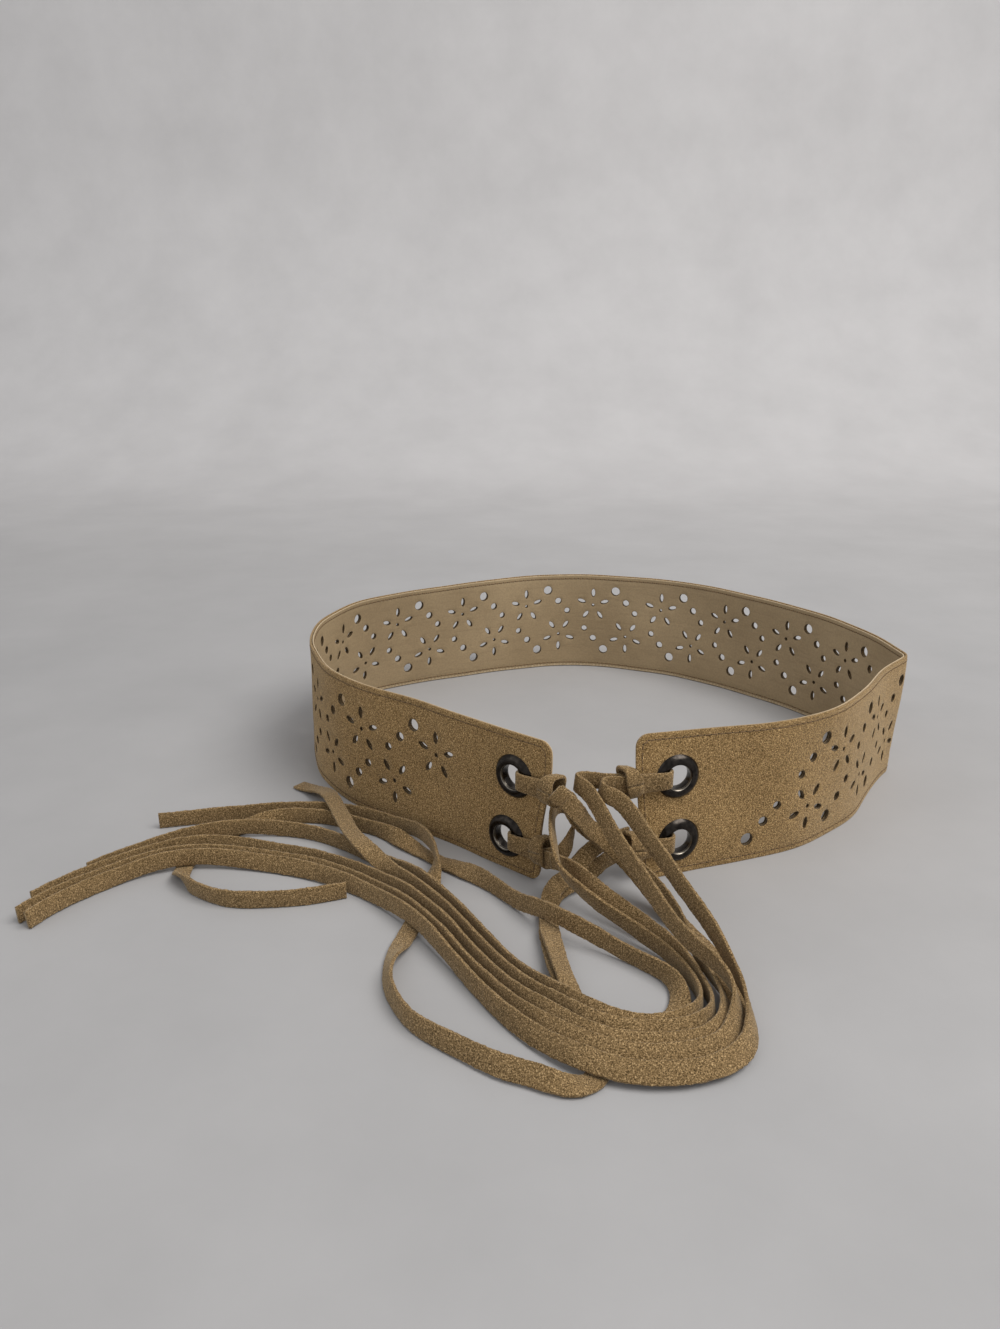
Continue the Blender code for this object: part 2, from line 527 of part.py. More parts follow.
def make_hitch(name, band, place, material):
    """The lace's loop through the eyelet and round the band's end, thickened to a knot past it."""
    towards_end = -1.0 if place[0] < band.length / 2 else 1.0
    reach = LEFT_HITCH_REACH if towards_end < 0 else RIGHT_HITCH_REACH
    square_end = 0.0 if towards_end < 0 else band.length
    end = square_end + lean_out(square_end, place[1], band.length)
    half = LACE_THICKNESS / 2
    front = -FIT_GAP - FLANGE_RISE - FIT_GAP - half
    back = SUEDE_WALL + LAYER_GAP + LINING_WALL + 2 * FIT_GAP + BACK_FLANGE_RISE + half
    middle = (front + back) / 2
    radius = EYELET_BORE / 2 - FIT_GAP
    in_hole = math.sqrt(radius ** 2 - (LACE_WIDTH / 2) ** 2) - half
    hole = place[0] + towards_end * in_hole
    knot = end + towards_end * (reach - KNOT_THICKNESS / 2)
    rim = end + towards_end * (FIT_GAP + half)
    flat = LACE_WIDTH / 2
    tall = KNOT_HEIGHT / 2
    # Columns: s, t, half the width, half the thickness, way out of the loop in s and t.
    rows = [
        (hole, front + 0.4 * half, flat, half, -1, -1),
        (hole + towards_end * 2.5 * half, front, flat, half, 0, -1),
        (rim, front, flat, half, 0, -1),
        (knot - towards_end * half, front - 0.5 * half, 0.75 * tall, KNOT_THICKNESS / 2, 1, -1),
        (knot, middle, tall, KNOT_THICKNESS / 2, 1, 0),
        (knot - towards_end * half, back + 0.5 * half, 0.75 * tall, KNOT_THICKNESS / 2, 1, 1),
        (rim, back, flat, half, 0, 1),
        (hole + towards_end * 2.5 * half, back, flat, half, 0, 1),
        (hole, back - 0.4 * half, flat, half, -1, 1),
        (hole, middle, flat, half, -1, 0),
    ]
    vertices = []
    for s, t, width, thickness, out_s, out_t in rows:
        size = math.hypot(out_s, out_t)
        ds = towards_end * out_s / size * thickness
        dt = out_t / size * thickness
        vertices += [band.at(s + ds, place[1] - width, t + dt), band.at(s + ds, place[1] + width, t + dt),
                     band.at(s - ds, place[1] + width, t - dt), band.at(s - ds, place[1] - width, t - dt)]
    faces = []
    count = len(rows)
    for i in range(count):
        for j in range(4):
            a = i * 4 + j
            b = i * 4 + (j + 1) % 4
            c = (i + 1) % count * 4 + (j + 1) % 4
            d = (i + 1) % count * 4 + j
            faces += [(a, b, c), (a, c, d)]
    return make_object(name, vertices, faces, material)


def lace_frames(curve):
    """Headings, width directions and face normals along a lace, from its lean column."""
    heading = np.gradient(curve[:, :3], axis=0)
    heading /= np.linalg.norm(heading, axis=1)[:, None]
    right = np.stack([heading[:, 1], -heading[:, 0], np.zeros(len(curve))], axis=1)
    right /= np.linalg.norm(right, axis=1)[:, None]
    upright = np.cross(right, heading)
    lean = np.radians(curve[:, 3])[:, None]
    width = np.cos(lean) * upright + np.sin(lean) * right
    return heading, width, np.cross(heading, width)


def make_lace(name, rows, material):
    """A flat lace swept along its route, never lower than the surface."""
    fine = smooth_curve(rows, 1500)
    fine[:, :3] *= MM
    fine[:, 4] *= MM
    fine = resample(fine, 3, np.linspace(0.0, arc_lengths(fine[:, :3])[-1], 500))
    heading, width, normal = lace_frames(fine)
    fine[:, :3] += normal * fine[:, 4:5]
    half_height = np.abs(width[:, 2]) * LACE_WIDTH / 2 + np.abs(normal[:, 2]) * LACE_THICKNESS / 2
    fine[:, 2] = np.maximum(fine[:, 2], half_height + LACE_LIFT)
    turns = np.arccos(np.clip(np.sum(heading[1:] * heading[:-1], axis=1), -1.0, 1.0))
    steps = np.linalg.norm(np.diff(fine[:, :3], axis=0), axis=1)
    need = np.concatenate([[0.0], np.cumsum(steps / STATION_SPACING + turns / STATION_TURN)])
    stations = np.interp(np.linspace(0.0, need[-1], int(need[-1]) + 2), need, np.arange(len(fine)))
    pick = [int(round(i)) for i in stations]
    vertices = []
    for i in pick:
        across = width[i] * LACE_WIDTH / 2
        through = normal[i] * LACE_THICKNESS / 2
        middle = fine[i, :3]
        vertices += [middle - across - through, middle + across - through,
                     middle + across + through, middle - across + through]
    faces = [(0, 1, 2), (0, 2, 3)]
    for i in range(len(pick) - 1):
        for j in range(4):
            a = i * 4 + j
            b = i * 4 + (j + 1) % 4
            faces += [(a, b, b + 4), (a, b + 4, a + 4)]
    last = (len(pick) - 1) * 4
    faces += [(last, last + 2, last + 1), (last, last + 3, last + 2)]
    return make_object(name, vertices, faces, material)


def centre_on_origin(pieces, followers):
    """Moves everything so that the pieces stand around the origin; the followers keep their place."""
    corners = [v.co for piece in pieces for v in piece.data.vertices]
    middle_x = (max(c.x for c in corners) + min(c.x for c in corners)) / 2
    middle_y = (max(c.y for c in corners) + min(c.y for c in corners)) / 2
    for piece in pieces + followers:
        for vertex in piece.data.vertices:
            vertex.co.x -= middle_x
            vertex.co.y -= middle_y


def main():
    clear_scene()
    suede = make_material("suede", (0.31, 0.19, 0.08), 0.95)
    lining_leather = make_material("lining", (0.23, 0.16, 0.08), 0.55)
    lace_leather = make_material("lace", (0.36, 0.23, 0.10), 0.95)
    bronze = make_material("dark_bronze", (0.03, 0.026, 0.022), 0.3, 1.0)
    band = Band()
    lining_near = SUEDE_WALL + LAYER_GAP
    lining_far = lining_near + LINING_WALL
    pieces = [make_layer("belt_suede", band, 0.0, 0.0, SUEDE_WALL, suede)]
    pieces.append(make_layer("belt_lining", band, LINING_INSET, lining_near, lining_far, lining_leather))
    for name, place in eyelet_places(band.length).items():
        pieces.append(make_eyelet(f"eyelet_{name}", band, place, bronze))
        pieces.append(make_hitch(f"hitch_{name}", band, place, lace_leather))
    laces = [make_lace(name, rows, lace_leather) for name, rows in LACE_ROUTES.items()]
    centre_on_origin(pieces, laces)


main()
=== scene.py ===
import math

import bmesh
import bpy
import numpy as np
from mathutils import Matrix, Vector
from mathutils.geometry import delaunay_2d_cdt


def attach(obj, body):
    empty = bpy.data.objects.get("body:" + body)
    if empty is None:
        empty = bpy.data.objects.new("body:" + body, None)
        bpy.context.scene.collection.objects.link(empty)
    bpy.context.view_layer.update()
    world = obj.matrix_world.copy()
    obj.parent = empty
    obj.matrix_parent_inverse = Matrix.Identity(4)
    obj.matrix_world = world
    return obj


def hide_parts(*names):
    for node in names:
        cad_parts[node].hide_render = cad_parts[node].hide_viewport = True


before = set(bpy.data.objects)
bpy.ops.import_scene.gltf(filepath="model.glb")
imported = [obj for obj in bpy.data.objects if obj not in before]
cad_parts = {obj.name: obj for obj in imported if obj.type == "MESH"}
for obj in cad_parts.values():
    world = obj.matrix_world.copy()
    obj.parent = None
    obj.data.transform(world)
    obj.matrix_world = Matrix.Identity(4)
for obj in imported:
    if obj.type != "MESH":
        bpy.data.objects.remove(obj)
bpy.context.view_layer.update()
rng = np.random.default_rng(7)
MM = 0.001

# Band, in metres
# MOVED carries band, laces and camera from the plan's own middle to the CAD part's frame.
MOVED = np.array([0.001194, 0.004542, 0.0])
BAND_HEIGHT = 0.072
LOOP_WIDTH = 0.346
LOOP_DEPTH = 0.317
SUEDE_WALL = 0.0013
LINING_WALL = 0.0009
LAYER_GAP = 0.0003
LINING_INSET = 0.0005
END_CORNER_RADIUS = 0.006
CREASE_REACH = 0.005
LEFT_END_LEAN = 0.0055
RIGHT_END_LEAN = 0.0025
LEAN_LOW = 0.020
LEAN_HIGH = 0.062
LEFT_LEAN_FADE = (0.10, 0.24)
RIGHT_LEAN_FADE = (0.015, 0.065)
BACK = SUEDE_WALL + LAYER_GAP + LINING_WALL
GROOVE_DEPTH = 0.00022
GROOVE_WIDTH = 0.0009
RIM_DEPTH = 0.00018
RIM_WIDTH = 0.0007
EDGE_CHAMFER = 0.00022
WALL_INSET = 0.00012
GRID_STEP = 0.0026
GRID_START = 0.0014
GRID_EDGE_GAP = 0.0012
GRID_HOLE_GAP = 0.0005
GRID_FIRST_ROW = 0.0079
GRID_ROW_STEP = 0.0024
GRID_EDGE_ROWS = [0.0012, 0.0021, 0.0026, 0.0030, 0.0034, 0.0041, 0.0055]
GRID_CORNER = 0.0065
CREASE_ZONE = 0.008
CREASE_STEP = 0.0008
LIP_HEIGHT = 0.0019

# Punched pattern
REPEAT_PITCH = 0.0522
PATTERN_START = 0.0563
PATTERN_RISE = 0.0015
PATTERN_DROP = 0.004
BLANK_RIGHT_END = 0.045
FLOWER_SHIFT = 0.0132
FLOWER_RISE = 0.0116
PETAL_RING = 0.0093
PETAL_LENGTH = 0.0062
PETAL_WIDTH = 0.0028
FLOWER_MIDDLE = 0.0020
# Half of the slanted line of dots. Columns: shift along the band, rise, diameter.
DOTS = [(0.022, 0.023, 0.0064), (0.0138, 0.0145, 0.0047), (0.0068, 0.0069, 0.0041)]

# Stitching
STITCH_INSET = 0.003
STITCH_PITCH = 0.0033
STITCH_GAP = 0.0003
STITCH_RADIUS = 0.00034
STITCH_LIFT = 0.00030
STITCH_SINK = 0.00015

# Eyelets
EYELET_FROM_END = 0.020
EYELET_SPREAD = 0.0325
EYELET_RADIUS = 0.0059
BARREL_RADIUS = 0.0069
EYELET_SIDES = 64

# Laces
LACE_WIDTH = 0.0085
LACE_THICKNESS = 0.0016
LACE_LIFT = 0.00015
LACE_STEP = 0.0008
LACE_CORNER = 0.0004
LACE_RAGGEDNESS = 0.00016
LOWEST_LACE = 0.00005
STRAP_STEPS = 40
COLLAR_STEPS = 48
COLLAR_HALF_HEIGHT = 0.0069
COLLAR_HALF_DEPTH = 0.0034
COLLAR_BULGE = 0.0015
COLLAR_LEAN = 0.0030
COLLAR_THICKNESS = 0.0017
LEFT_KNOT_REACH = 0.0026
RIGHT_KNOT_REACH = 0.0044
TAIL_START = 0.0066
TAIL_STEPS = 12

# Stage
BEND_START = 0.9
BEND_RADIUS = 0.6

# Plan of the loop's top edge, from the left end round the back to the crease on the right.
# Columns: share of half the loop's width, share of half its depth,
# and how far the lower edge stands out of the loop as a share of the band's height.
PLAN_TO_CREASE = [
    (-0.23, -1.0, 0.0), (-0.39, -0.855, 0.0), (-0.563, -0.692, 0.0), (-0.755, -0.529, 0.01),
    (-0.866, -0.389, 0.02), (-0.967, -0.144, 0.02), (-1.0, 0.09, 0.03), (-0.972, 0.31, 0.07),
    (-0.89, 0.515, 0.11), (-0.745, 0.655, 0.12), (-0.503, 0.822, 0.04), (-0.249, 0.957, 0.0),
    (0.0, 1.002, 0.0), (0.183, 0.967, -0.02), (0.425, 0.86, -0.04), (0.6, 0.708, -0.05),
    (0.76, 0.495, 0.0), (0.91, 0.222, 0.02), (0.977, -0.005, 0.0), (1.0, -0.225, -0.03),
]
PLAN_FROM_CREASE = [
    (1.0, -0.225, -0.03), (0.895, -0.355, -0.02), (0.767, -0.556, 0.01), (0.65, -0.705, -0.01),
    (0.48, -0.835, -0.03), (0.3, -0.893, 0.0), (0.14, -0.929, 0.06), (0.035, -0.957, 0.08),
]
# Routes of the lace tails in millimetres.
# Columns: x, y, height of the middle, lean of the width from upright in degrees, shift along the normal.
LACE_ROUTES = {
    "lace_upper_right_a": [
        (-5.5, -156.9, 49.7, 0, 0), (-9.5, -157.6, 49.9, -5, 0), (-12.4, -159.6, 49.8, -12, 0),
        (-11.8, -163, 48.9, -14, 0), (-6.2, -166.8, 47.4, -16, 0), (-0.9, -171.2, 43.7, -16, 0),
        (5, -179.5, 37.4, -14, 0), (11.6, -190, 31.2, -12, 0), (18, -202, 25.2, -10, 0),
        (24.2, -213.6, 19.9, -8, 0), (28.8, -225, 15.7, -4, 0), (32.6, -238.5, 11.2, 4, 0),
        (34.8, -251, 8, 14, 0), (34, -264, 6.3, 28, 0), (28.8, -277.4, 5.4, 45, 0),
        (13.6, -287.4, 5.1, 52, 0), (-2, -289.8, 5.2, 52, 0), (-16, -288.5, 5.4, 50, 0),
        (-29.2, -282.8, 5.9, 45, 0), (-41, -274, 4.8, 35, 0), (-53, -262, 4.6, 20, 0),
        (-64, -247, 4.6, 10, 0), (-74, -231, 5, 5, 0), (-84, -215, 6.6, 5, 0), (-94, -200, 7, 5, 0),
        (-104, -188, 6.2, 5, 0), (-116, -176, 4.7, 10, 0), (-132, -164, 4.6, 15, 0),
        (-152, -154, 4.5, 20, 0), (-174, -148, 4.7, 20, 0), (-193, -146, 6.2, 10, 0),
        (-207, -147, 6.8, 5, 0), (-221, -151, 6.2, 5, 0), (-235, -160, 4.8, 5, 0), (-247, -172, 4.5, 10, 0),
        (-257, -186, 4.5, 10, 0), (-262, -197, 4.5, 10, 0),
    ],
    "lace_upper_right_b": [
        (-5.5, -154.2, 49.7, 0, 0), (-12, -154.5, 50.3, 0, 0), (-18.5, -155, 51.2, -3, 0),
        (-23.6, -157.8, 51.6, -6, 0), (-20.5, -161.8, 50.4, -10, 0), (-14.8, -167.6, 44.6, -14, 0),
        (-8.8, -176.5, 36.2, -16, 0), (-2, -188.5, 29.4, -14, 0), (4.2, -201, 23.9, -12, 0),
        (9.6, -213.3, 19.6, -10, 0), (14.8, -224.5, 17, -6, 0), (21, -235.5, 15.8, 0, 0),
        (27, -245.5, 14.3, 10, 0), (30.2, -255.5, 10.4, 22, 0), (27.8, -265.5, 8, 38, 0),
        (21.2, -276, 6.8, 50, 0), (10.2, -280.9, 6.4, 52, 0), (-2, -282.4, 6.3, 52, 0),
        (-15, -281.3, 6.4, 52, 0), (-27.2, -276.2, 6.5, 48, 0), (-38.5, -268.5, 6.2, 40, 0),
        (-50, -257.5, 5.4, 22, 0), (-61, -243, 4.9, 10, 0), (-71, -228, 5, 5, 0), (-81, -212.5, 6.6, 5, 0),
        (-91.5, -197.5, 7, 5, 0), (-102, -184.5, 6.5, 5, 0), (-114, -172.5, 4.8, 10, 0),
        (-130, -160.5, 4.6, 15, 0), (-151, -150, 4.5, 20, 0), (-173.5, -144, 4.7, 20, 0),
        (-193, -142, 6.2, 10, 0), (-208, -143, 6.8, 5, 0), (-223, -147, 6.2, 5, 0), (-238, -156, 4.8, 5, 0),
        (-251, -168, 4.5, 5, 0), (-261, -181, 4.5, 5, 0), (-268, -193, 4.5, 5, 0),
    ],
    "lace_upper_left_a": [
        (-28.9, -166.3, 47.1, 0, 1.5), (-27.1, -166.2, 45.3, -5, 1.6), (-24.7, -165.8, 41.6, -12, 1.6),
        (-22, -164.8, 37.2, -20, 1.3), (-18, -163.2, 31.3, -30, 1.05), (-11.5, -163, 26, -30, 1.05),
        (-3.5, -167, 20.5, -25, 1.05), (5, -175, 16.2, -20, 1.05), (12.5, -186, 12.6, -15, 1.05),
        (18, -200, 8.9, -10, 0.6), (21, -214, 6, 0, 0), (23.5, -229, 5.2, 10, 0), (26.3, -243, 5.8, 20, 0),
        (27, -255, 7, 35, 0), (24, -266, 7.5, 50, 0), (14, -274.8, 7, 50, 0), (0, -277.4, 7, 50, 0),
        (-13, -276.8, 7, 50, 0), (-26.4, -271.8, 7.2, 44, 0), (-38, -262, 7, 35, 0), (-49, -251, 6, 20, 0),
        (-60, -236, 5, 10, 0), (-70, -220, 5.2, 5, 0), (-80, -204, 6.7, 5, 0), (-90, -190, 7, 5, 0),
        (-100.5, -177, 6.6, 5, 0), (-112, -165.5, 4.9, 10, 0), (-127, -154.5, 4.6, 10, 0),
        (-148, -143.5, 4.5, 10, 0), (-171, -136.5, 4.7, 15, 0), (-192, -133, 6.2, 10, 0),
        (-207, -134, 6.8, 5, 0), (-222, -138.5, 6.2, 5, 0), (-236, -146, 4.8, 5, 0),
        (-249, -157, 4.5, 5, 0), (-259, -169, 4.5, 5, 0), (-267, -181, 4.5, 5, 0),
    ],
    "lace_upper_left_b": [
        (-28.7, -166.3, 46.9, 0, -1.2), (-27.1, -166.2, 45.3, -5, -2), (-24.7, -165.8, 41.6, -12, -2.8),
        (-22, -164.8, 37.2, -20, -2.7), (-18, -163, 31.1, -30, -2), (-11.5, -163.6, 25.8, -30, -1.9),
        (-3.5, -167, 19.5, -35, -2), (4.5, -174, 13.4, -50, -1.8), (12, -183, 7.6, -72, -1.4),
        (19.5, -195, 3.1, -88, -0.8), (26.5, -211, 1.5, -90, 0), (32, -229, 1.3, -90, 0),
        (33.7, -250, 1.3, -90, 0), (28, -266, 1.2, -90, 0), (14, -276, 1.2, -90, 0), (0, -279, 1.2, -90, 0),
        (-12, -279.5, 1.2, -90, 0),
    ],
    "lace_lower_left_a": [
        (-33.2, -162.6, 16.4, 0, 0), (-29.2, -163.9, 19.4, 0, 0), (-25.4, -160.9, 26.3, 10, 0),
        (-23.4, -156.8, 30.5, 20, 0), (-24.2, -152.2, 34.4, 20, 0), (-28.3, -149.6, 36, 10, 0),
        (-32.8, -154, 35.9, 5, 0), (-34.3, -163, 32.2, 15, 0), (-33.8, -173, 27.6, 25, 0),
        (-31.5, -181, 21, 25, 0), (-25, -188.5, 16.5, 20, 0), (-16, -196, 12, 15, 0),
        (-6, -203.5, 8.5, 10, 0), (3.5, -212.5, 6, 5, 0), (11.5, -223, 4.8, 5, 0), (16.5, -236, 4.7, 5, 0),
        (18.3, -248.5, 5.5, 5, 0), (15.5, -259, 7, 12, 0), (8, -265.6, 7.3, 36, 0), (-2, -268, 7.3, 42, 0),
        (-13, -266.8, 7.7, 40, 0), (-24.3, -261.2, 8.4, 30, 0), (-34.7, -252, 8.4, 15, 0),
        (-44.5, -241, 6.2, 10, 0), (-54, -227.5, 4.8, 5, 0), (-62.5, -213, 5, 0, 0),
        (-71.5, -198.5, 6.2, 0, 0), (-80.5, -185, 7, 0, 0), (-90, -172, 7.8, 0, 0),
        (-101, -159.5, 6.8, 0, 0), (-113, -148, 4.5, 0, 0), (-126, -137, 4.5, 0, 0),
        (-140, -126, 4.5, 0, 0), (-155, -118, 4.5, 0, 0), (-171, -114.5, 4.8, 0, 0),
        (-188, -115.5, 6.2, 0, 0), (-204, -120.5, 6.8, 0, 0), (-219, -127, 6, 0, 0),
        (-233, -136, 4.6, 0, 0), (-244, -146, 4.5, 0, 0), (-252, -156, 4.5, 0, 0),
    ],
    "lace_lower_left_b": [
        (-34.6, -165.4, 15.4, 0, 0), (-30, -170.6, 16.8, 4, 0), (-24, -178, 17, -10, 0),
        (-17, -186, 14.5, -24, 0), (-8, -194, 10.6, -32, 0), (2, -203, 7.2, -30, 0),
        (11, -214, 5.4, -18, 0), (17.5, -228, 4.9, -5, 0), (21.3, -243, 4.8, 5, 0), (22, -255, 5.5, 10, 0),
        (18, -264, 7, 20, 0), (9.4, -269.6, 7.3, 42, 0), (-2, -271.5, 7.2, 46, 0),
        (-14, -270.1, 7.4, 44, 0), (-25.4, -265.4, 7.6, 34, 0), (-36, -255.5, 6.9, 20, 0),
        (-46.5, -245, 5.6, 15, 0), (-57.5, -230, 4.8, 10, 0), (-67.5, -214, 5.2, 5, 0),
        (-77.5, -198.5, 6.7, 5, 0), (-87.5, -184, 7, 5, 0), (-98, -170.5, 6.9, 5, 0),
        (-108.5, -160, 7, 20, 0), (-117, -151.5, 9.5, 55, 0), (-124, -143, 11.3, 80, 0),
        (-131, -131, 11, 90, 0), (-137, -117, 10.7, 90, 0), (-143, -102, 10.8, 90, 0),
        (-149, -88, 10.3, 90, 0), (-155, -76, 7, 90, 0), (-163, -65, 2.8, 90, 0), (-172, -57, 1.2, 90, 0),
    ],
    "lace_lower_right_a": [
        (-3.6, -155.4, 21.6, 0, 0), (-10, -158.8, 21.2, 0, 0), (-18, -162.5, 17, 25, 0),
        (-25.5, -167, 9.6, 58, 0), (-31.5, -172.5, 7.2, 68, -0.6), (-35.3, -180, 5.4, 78, -1.2),
        (-36.5, -190, 2.9, 85, -1.4), (-37, -203, 2.7, 85, -1.4), (-36, -216, 3.6, 76, -1.6),
        (-34.5, -230, 4.5, 64, -1.6), (-31.8, -243, 4.1, 70, -1.4), (-27, -253.5, 3.2, 90, -0.3),
        (-18, -260, 3.2, 90, 0), (-8, -262.5, 1.3, 90, 0), (3, -259.5, 1.2, 90, 0),
        (10.5, -250, 2.2, 75, 0), (10, -239, 4.6, 25, 0), (3, -229, 4.6, 0, 0), (-8, -219.5, 5, 0, 0),
        (-19, -211.5, 7.4, 5, 0), (-29, -205.5, 9.8, 5, 0), (-39, -196, 9.3, 5, 0),
        (-48.5, -184.5, 5.6, 5, 0), (-57, -173.5, 4.6, 10, 0), (-66, -162.5, 4.5, 20, 0),
        (-76, -152.5, 3.2, 60, 0), (-87, -142, 1.2, 90, 0), (-98, -132, 1.2, 90, 0),
        (-108, -124, 3.8, 50, 0), (-119, -116, 4.5, 5, 0), (-135, -107.5, 4.5, 0, 0),
        (-153, -101, 4.5, 0, 0), (-171, -101, 4.5, 10, 0), (-186, -106, 3.2, 60, 0),
        (-197.5, -115, 1.2, 90, 0), (-206, -128, 1.2, 90, 0), (-209.5, -142, 1.2, 90, 0),
        (-209.3, -150.5, 1.2, 90, 0), (-208.4, -156, 2.3, 70, 0), (-206, -161.2, 4, 38, 0),
        (-202, -167, 4.5, 8, 0), (-195, -172.8, 4.5, 5, 0), (-181, -179.5, 4.5, 0, 0),
        (-164, -180.5, 4.5, 0, 0), (-145, -178, 4.5, 0, 0), (-128, -172.5, 4.5, 0, 0),
    ],
    "lace_lower_right_b": [
        (-3.6, -155.4, 12.6, 0, 0), (-10, -159.2, 11, 0, 0), (-18, -163.8, 6.9, 34, 0),
        (-26, -168.2, 5, 60, 0.6), (-31.8, -173.2, 4.2, 70, 1), (-35.3, -180.3, 3.6, 80, 1.3),
        (-36.5, -190, 2.9, 85, 1.4), (-37, -203, 2.7, 85, 1.4), (-36, -216, 3.6, 76, 1.6),
        (-34.5, -230, 4.5, 64, 1.6), (-31.8, -243, 4.1, 70, 1.4), (-29, -256, 1.2, 90, 0),
        (-26.5, -268, 1.1, 90, 0), (-24, -278.5, 1.1, 90, 0), (-25.2, -288, 1.1, 90, 0),
        (-33, -292.6, 2.4, 76, 0), (-45, -290, 4, 45, 0), (-57, -285.5, 4.4, 35, 0),
        (-68, -279, 4.5, 25, 0), (-79, -271.5, 4.5, 15, 0), (-90, -262.5, 4.5, 10, 0),
        (-97.5, -251, 4.5, 10, 0), (-102, -238, 4.5, 20, 0), (-102, -224, 4, 45, 0),
        (-99.5, -211, 1.9, 80, 0), (-96.5, -198, 1.1, 90, 0), (-93.5, -185, 1.1, 90, 0),
        (-91.5, -173, 1.1, 90, 0), (-90, -164, 1.3, 88, 0), (-89, -155, 4.2, 50, 0),
        (-88.8, -146, 6.9, 5, 0), (-92, -134, 7.8, 0, 0), (-100, -120, 6.8, 0, 0), (-112, -109, 4.6, 0, 0),
        (-127, -100, 4.5, 0, 0), (-145, -94, 4.5, 0, 0), (-165, -92.5, 4.5, 0, 0), (-185, -95, 4.5, 0, 0),
        (-205, -99, 4.5, 0, 0), (-222, -103, 4.5, 0, 0), (-235, -106, 4.5, 0, 0),
    ],
}


def smooth_curve(rows, count):
    """Points along a natural cubic spline through the rows."""
    rows = np.asarray(rows, float)
    reach = np.linalg.norm(np.diff(rows[:, :2], axis=0), axis=1) ** 0.75
    knots = np.concatenate([[0.0], np.cumsum(reach)])
    size = len(knots)
    span = np.diff(knots)
    system = np.zeros((size, size))
    target = np.zeros(rows.shape)
    system[0, 0] = 1.0
    system[-1, -1] = 1.0
    for i in range(1, size - 1):
        system[i, i - 1] = span[i - 1]
        system[i, i] = 2.0 * (span[i - 1] + span[i])
        system[i, i + 1] = span[i]
        target[i] = 6.0 * ((rows[i + 1] - rows[i]) / span[i] - (rows[i] - rows[i - 1]) / span[i - 1])
    bend = np.linalg.solve(system, target)
    at = np.linspace(0.0, knots[-1], count)
    k = np.clip(np.searchsorted(knots, at, side="right") - 1, 0, size - 2)
    h = span[k][:, None]
    left = (knots[k + 1] - at)[:, None]
    right = (at - knots[k])[:, None]
    curve = bend[k] * left ** 3 / (6 * h) + bend[k + 1] * right ** 3 / (6 * h)
    curve += (rows[k] / h - bend[k] * h / 6) * left + (rows[k + 1] / h - bend[k + 1] * h / 6) * right
    return curve


def arc_lengths(points):
    """Distance along the points, from the first one."""
    return np.concatenate([[0.0], np.cumsum(np.linalg.norm(np.diff(points, axis=0), axis=1))])


def unit_rows(vectors):
    return vectors / np.linalg.norm(vectors, axis=1)[:, None]


def between(places, along, rows):
    """The rows' values at the places, where along says how far on each row lies."""
    return np.stack([np.interp(places, along, rows[:, c]) for c in range(rows.shape[1])], axis=1)


class Band:
    """Bends the flat strip around the loop's plan, as the CAD part does."""

    def __init__(self):
        scale = np.array([LOOP_WIDTH / 2, LOOP_DEPTH / 2, 1.0])
        before = smooth_curve(np.array(PLAN_TO_CREASE) * scale, 4000)
        after = smooth_curve(np.array(PLAN_FROM_CREASE) * scale, 1500)
        along_before = arc_lengths(before[:, :2])
        along_after = arc_lengths(after[:, :2])
        kept_before = before[along_before <= along_before[-1] - CREASE_REACH]
        kept_after = after[along_after >= CREASE_REACH]
        self.crease = along_before[-1]
        u = np.linspace(0.0, 1.0, 40)[1:-1, None]
        turn = (1 - u) ** 2 * kept_before[-1] + 2 * u * (1 - u) * before[-1] + u ** 2 * kept_after[0]
        plan = np.concatenate([kept_before, turn, kept_after])
        self.length = arc_lengths(plan[:, :2])[-1]
        self.s = np.linspace(0.0, self.length, 4001)
        self.plan = between(self.s, arc_lengths(plan[:, :2]), plan)
        self.plan[:, :2] -= (self.plan[:, :2].max(axis=0) + self.plan[:, :2].min(axis=0)) / 2
        self.heading = unit_rows(np.gradient(self.plan[:, :2], axis=0))

    def at(self, s, z, t):
        """World places of flat places: s along the band, z up, t from the outer face inwards."""
        s, z, t = np.broadcast_arrays(np.asarray(s, float), z, t)
        inside = np.clip(s, 0.0, self.length)
        x, y, flare = (np.interp(inside, self.s, self.plan[:, c]) for c in range(3))
        hx, hy = (np.interp(inside, self.s, self.heading[:, c]) for c in range(2))
        size = np.hypot(hx, hy)
        hx, hy = hx / size, hy / size
        depth = t - flare * (BAND_HEIGHT - z)
        past = s - inside
        return np.stack([x + hx * past + hy * depth, y + hy * past - hx * depth, z], axis=-1) + MOVED


band = Band()


def lean_out(s, z):
    """How far a place near an end of the flat strip is moved along s, because the ends are cut aslant."""
    rise = np.clip((np.asarray(z, float) - LEAN_LOW) / (LEAN_HIGH - LEAN_LOW), 0.0, 1.0)
    rise = rise * rise * (3 - 2 * rise)
    full, none = LEFT_LEAN_FADE
    left = np.clip((none - s) / (none - full), 0.0, 1.0)
    full, none = RIGHT_LEAN_FADE
    right = np.clip((none - (band.length - s)) / (none - full), 0.0, 1.0)
    return rise * (right * RIGHT_END_LEAN - left * LEFT_END_LEAN)


def placed(s, z):
    """The flat place after the lean of the ends."""
    return (float(s + lean_out(s, z)), float(z))


def pattern_middle(s):
    """Height of the pattern's middle line, which sinks towards both ends."""
    return BAND_HEIGHT / 2 + PATTERN_RISE - PATTERN_DROP * (2 * s / band.length - 1) ** 2


